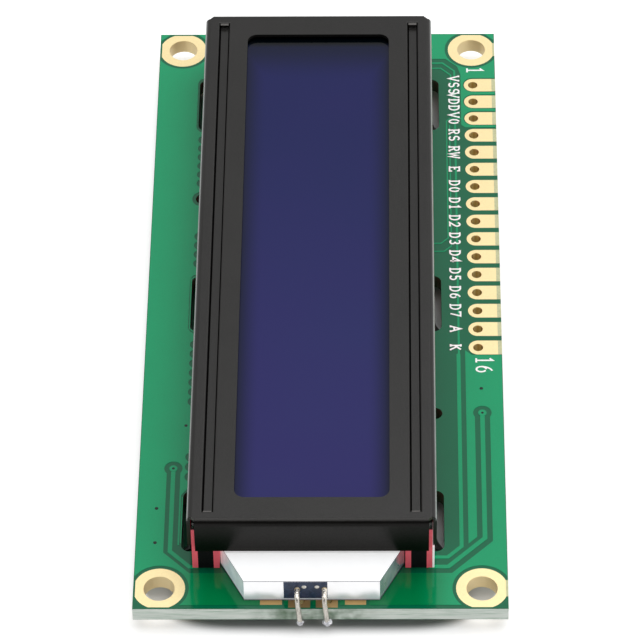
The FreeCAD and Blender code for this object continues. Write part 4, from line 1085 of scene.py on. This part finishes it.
def floor_finish():
    """Pale paper, its white and shade, painted shade below the board, painted light below its
    holes.
    """
    material, shader = new_material("pale_floor", 0.9, 0.1)
    ground = object_axes(material)
    rays = material.node_tree.nodes.new("ShaderNodeLightPath").outputs
    before_lamp = ramp(material, ground["X"], *FRONT_FLOOR)
    mirrored = product(material, rays["Is Glossy Ray"],
                       scale_and_add(material, before_lamp, -1.0, 1.0))
    seen = arithmetic(material, "MAXIMUM", rays["Is Camera Ray"], rays["Is Transmission Ray"])
    seen = arithmetic(material, "MAXIMUM", seen, mirrored)
    across = distance_from(material, ground["Y"])
    rounding = arithmetic(material, "POWER",
                          arithmetic(material, "DIVIDE", across, CORNER_REACH * MM),
                          CORNER_SHARPNESS)
    along = arithmetic(material, "ADD", distance_from(material, ground["X"]),
                       product(material, rounding, CORNER_INSET * MM))
    outside = arithmetic(material, "MAXIMUM", ramp(material, along, *SHADE_END),
                         ramp(material, across, *SHADE_SIDE))
    squares = []
    for axis, hole in zip("XY", HOLE_LIGHT):
        off_hole = distance_from(material, distance_from(material, ground[axis]), hole)
        squares.append(arithmetic(material, "POWER", off_hole, 2.0))
    off_hole = arithmetic(material, "POWER", arithmetic(material, "ADD", *squares), 0.5)
    # Painted light below the mounting holes.
    painted_hole_light = product(material, ramp(material, off_hole, *HOLE_SPREAD), HOLE_SHARE)
    lit = arithmetic(material, "MAXIMUM", outside, painted_hole_light)
    foot_side = arithmetic(material, "LESS_THAN", ground["Y"], 0.0)
    under = product(material, ramp(material, along, *UNDER_SHADE_REACH[0]),
                    ramp(material, across, *UNDER_SHADE_REACH[1]),
                    scale_and_add(material, foot_side, 1.0 - UNDER_SHADE_HEADER_SHARE,
                                  UNDER_SHADE_HEADER_SHARE))
    feed(material, blend_colours(material, under, FLOOR_COLOUR, UNDER_BOARD_SHADE), shader, "Base Color")
    shader.inputs["Emission Color"].default_value = (1, 1, 1, 1)
    feed(material, product(material, seen, lit, FLOOR_GLOW), shader, "Emission Strength")
    return material


def stand(name, data):
    """Put an object of the studio into the scene."""
    entry = bpy.data.objects.new(name, data)
    bpy.context.scene.collection.objects.link(entry)
    return entry


floor_shape = bmesh.new()
bmesh.ops.create_grid(floor_shape, x_segments=1, y_segments=1, size=FLOOR_REACH * MM)
bmesh.ops.translate(floor_shape, verts=floor_shape.verts, vec=(0, 0, cad_box[0].z))
floor_mesh = bpy.data.meshes.new("floor")
floor_shape.to_mesh(floor_mesh)
floor_shape.free()
floor_mesh.materials.append(floor_finish())
floor = stand("floor", floor_mesh)


# Camera: looks along the module from the lamp's end, at 47 degrees, through a long lens. Its place
# was solved from the board's corners and holes.
CAMERA_PLACE = Vector((300.65, 6.74, 320.0))
CAMERA_AIM = Vector((2.27, -0.39, 0.0))
CAMERA_ROLL = -1.115
CAMERA_LENS = 242.47
CAMERA_SENSOR = 36.0


def sight(place, aim):
    """Turn and place of a lamp or camera that looks from one point in millimetres at another."""
    turn = (aim - place).to_track_quat("-Z", "Y").to_matrix().to_4x4()
    return Matrix.Translation(place * MM) @ turn


camera_data = bpy.data.cameras.new("camera")
camera_data.lens = CAMERA_LENS
camera_data.sensor_width = CAMERA_SENSOR
camera_data.clip_start = 0.01
camera_data.clip_end = 10.0
camera = stand("camera", camera_data)
roll = Matrix.Rotation(math.radians(CAMERA_ROLL), 4, "Z")
camera.matrix_world = sight(CAMERA_PLACE, CAMERA_AIM) @ roll
bpy.context.scene.camera = camera


# Light: one large soft lamp overhead, and a sky that is a little brighter on the header's side and
# dim behind the camera, so that the glossy mask and the display keep their depth.
LAMP_PLACE = Vector((-60.0, 80.0, 620.0))
LAMP_SIZE = 600.0
LAMP_POWER = 2.5
SKY_LEVEL = 0.80
SKY_SIDE_GAIN = 0.18
DIM_LEVEL = 0.04
DIM_CONE = (42, 22)
lamp_data = bpy.data.lights.new("overhead", "AREA")
lamp_data.shape = "SQUARE"
lamp_data.size = LAMP_SIZE * MM
lamp_data.energy = LAMP_POWER
stand("overhead", lamp_data).matrix_world = sight(LAMP_PLACE, Vector((0.0, 0.0, 0.0)))
world = bpy.data.worlds.new("studio")
world.use_nodes = True
bpy.context.scene.world = world
air = world.node_tree.nodes["Background"]
direction = world.node_tree.nodes.new("ShaderNodeTexCoord").outputs["Generated"]
toward = world.node_tree.nodes.new("ShaderNodeVectorMath")
toward.operation = "DOT_PRODUCT"
toward.inputs[1].default_value = CAMERA_PLACE.normalized()
world.node_tree.links.new(direction, toward.inputs[0])
dim = ramp(world, toward.outputs["Value"], *(math.cos(math.radians(turn)) for turn in DIM_CONE),
           unit=1.0)
level = product(world, scale_and_add(world, split(world, direction)["Y"], SKY_SIDE_GAIN, SKY_LEVEL),
                scale_and_add(world, dim, DIM_LEVEL - 1.0, 1.0))
feed(world, level, air, "Strength")
air.inputs["Color"].default_value = (1.0, 1.0, 1.0, 1.0)
bpy.context.scene.view_settings.view_transform = "Standard"
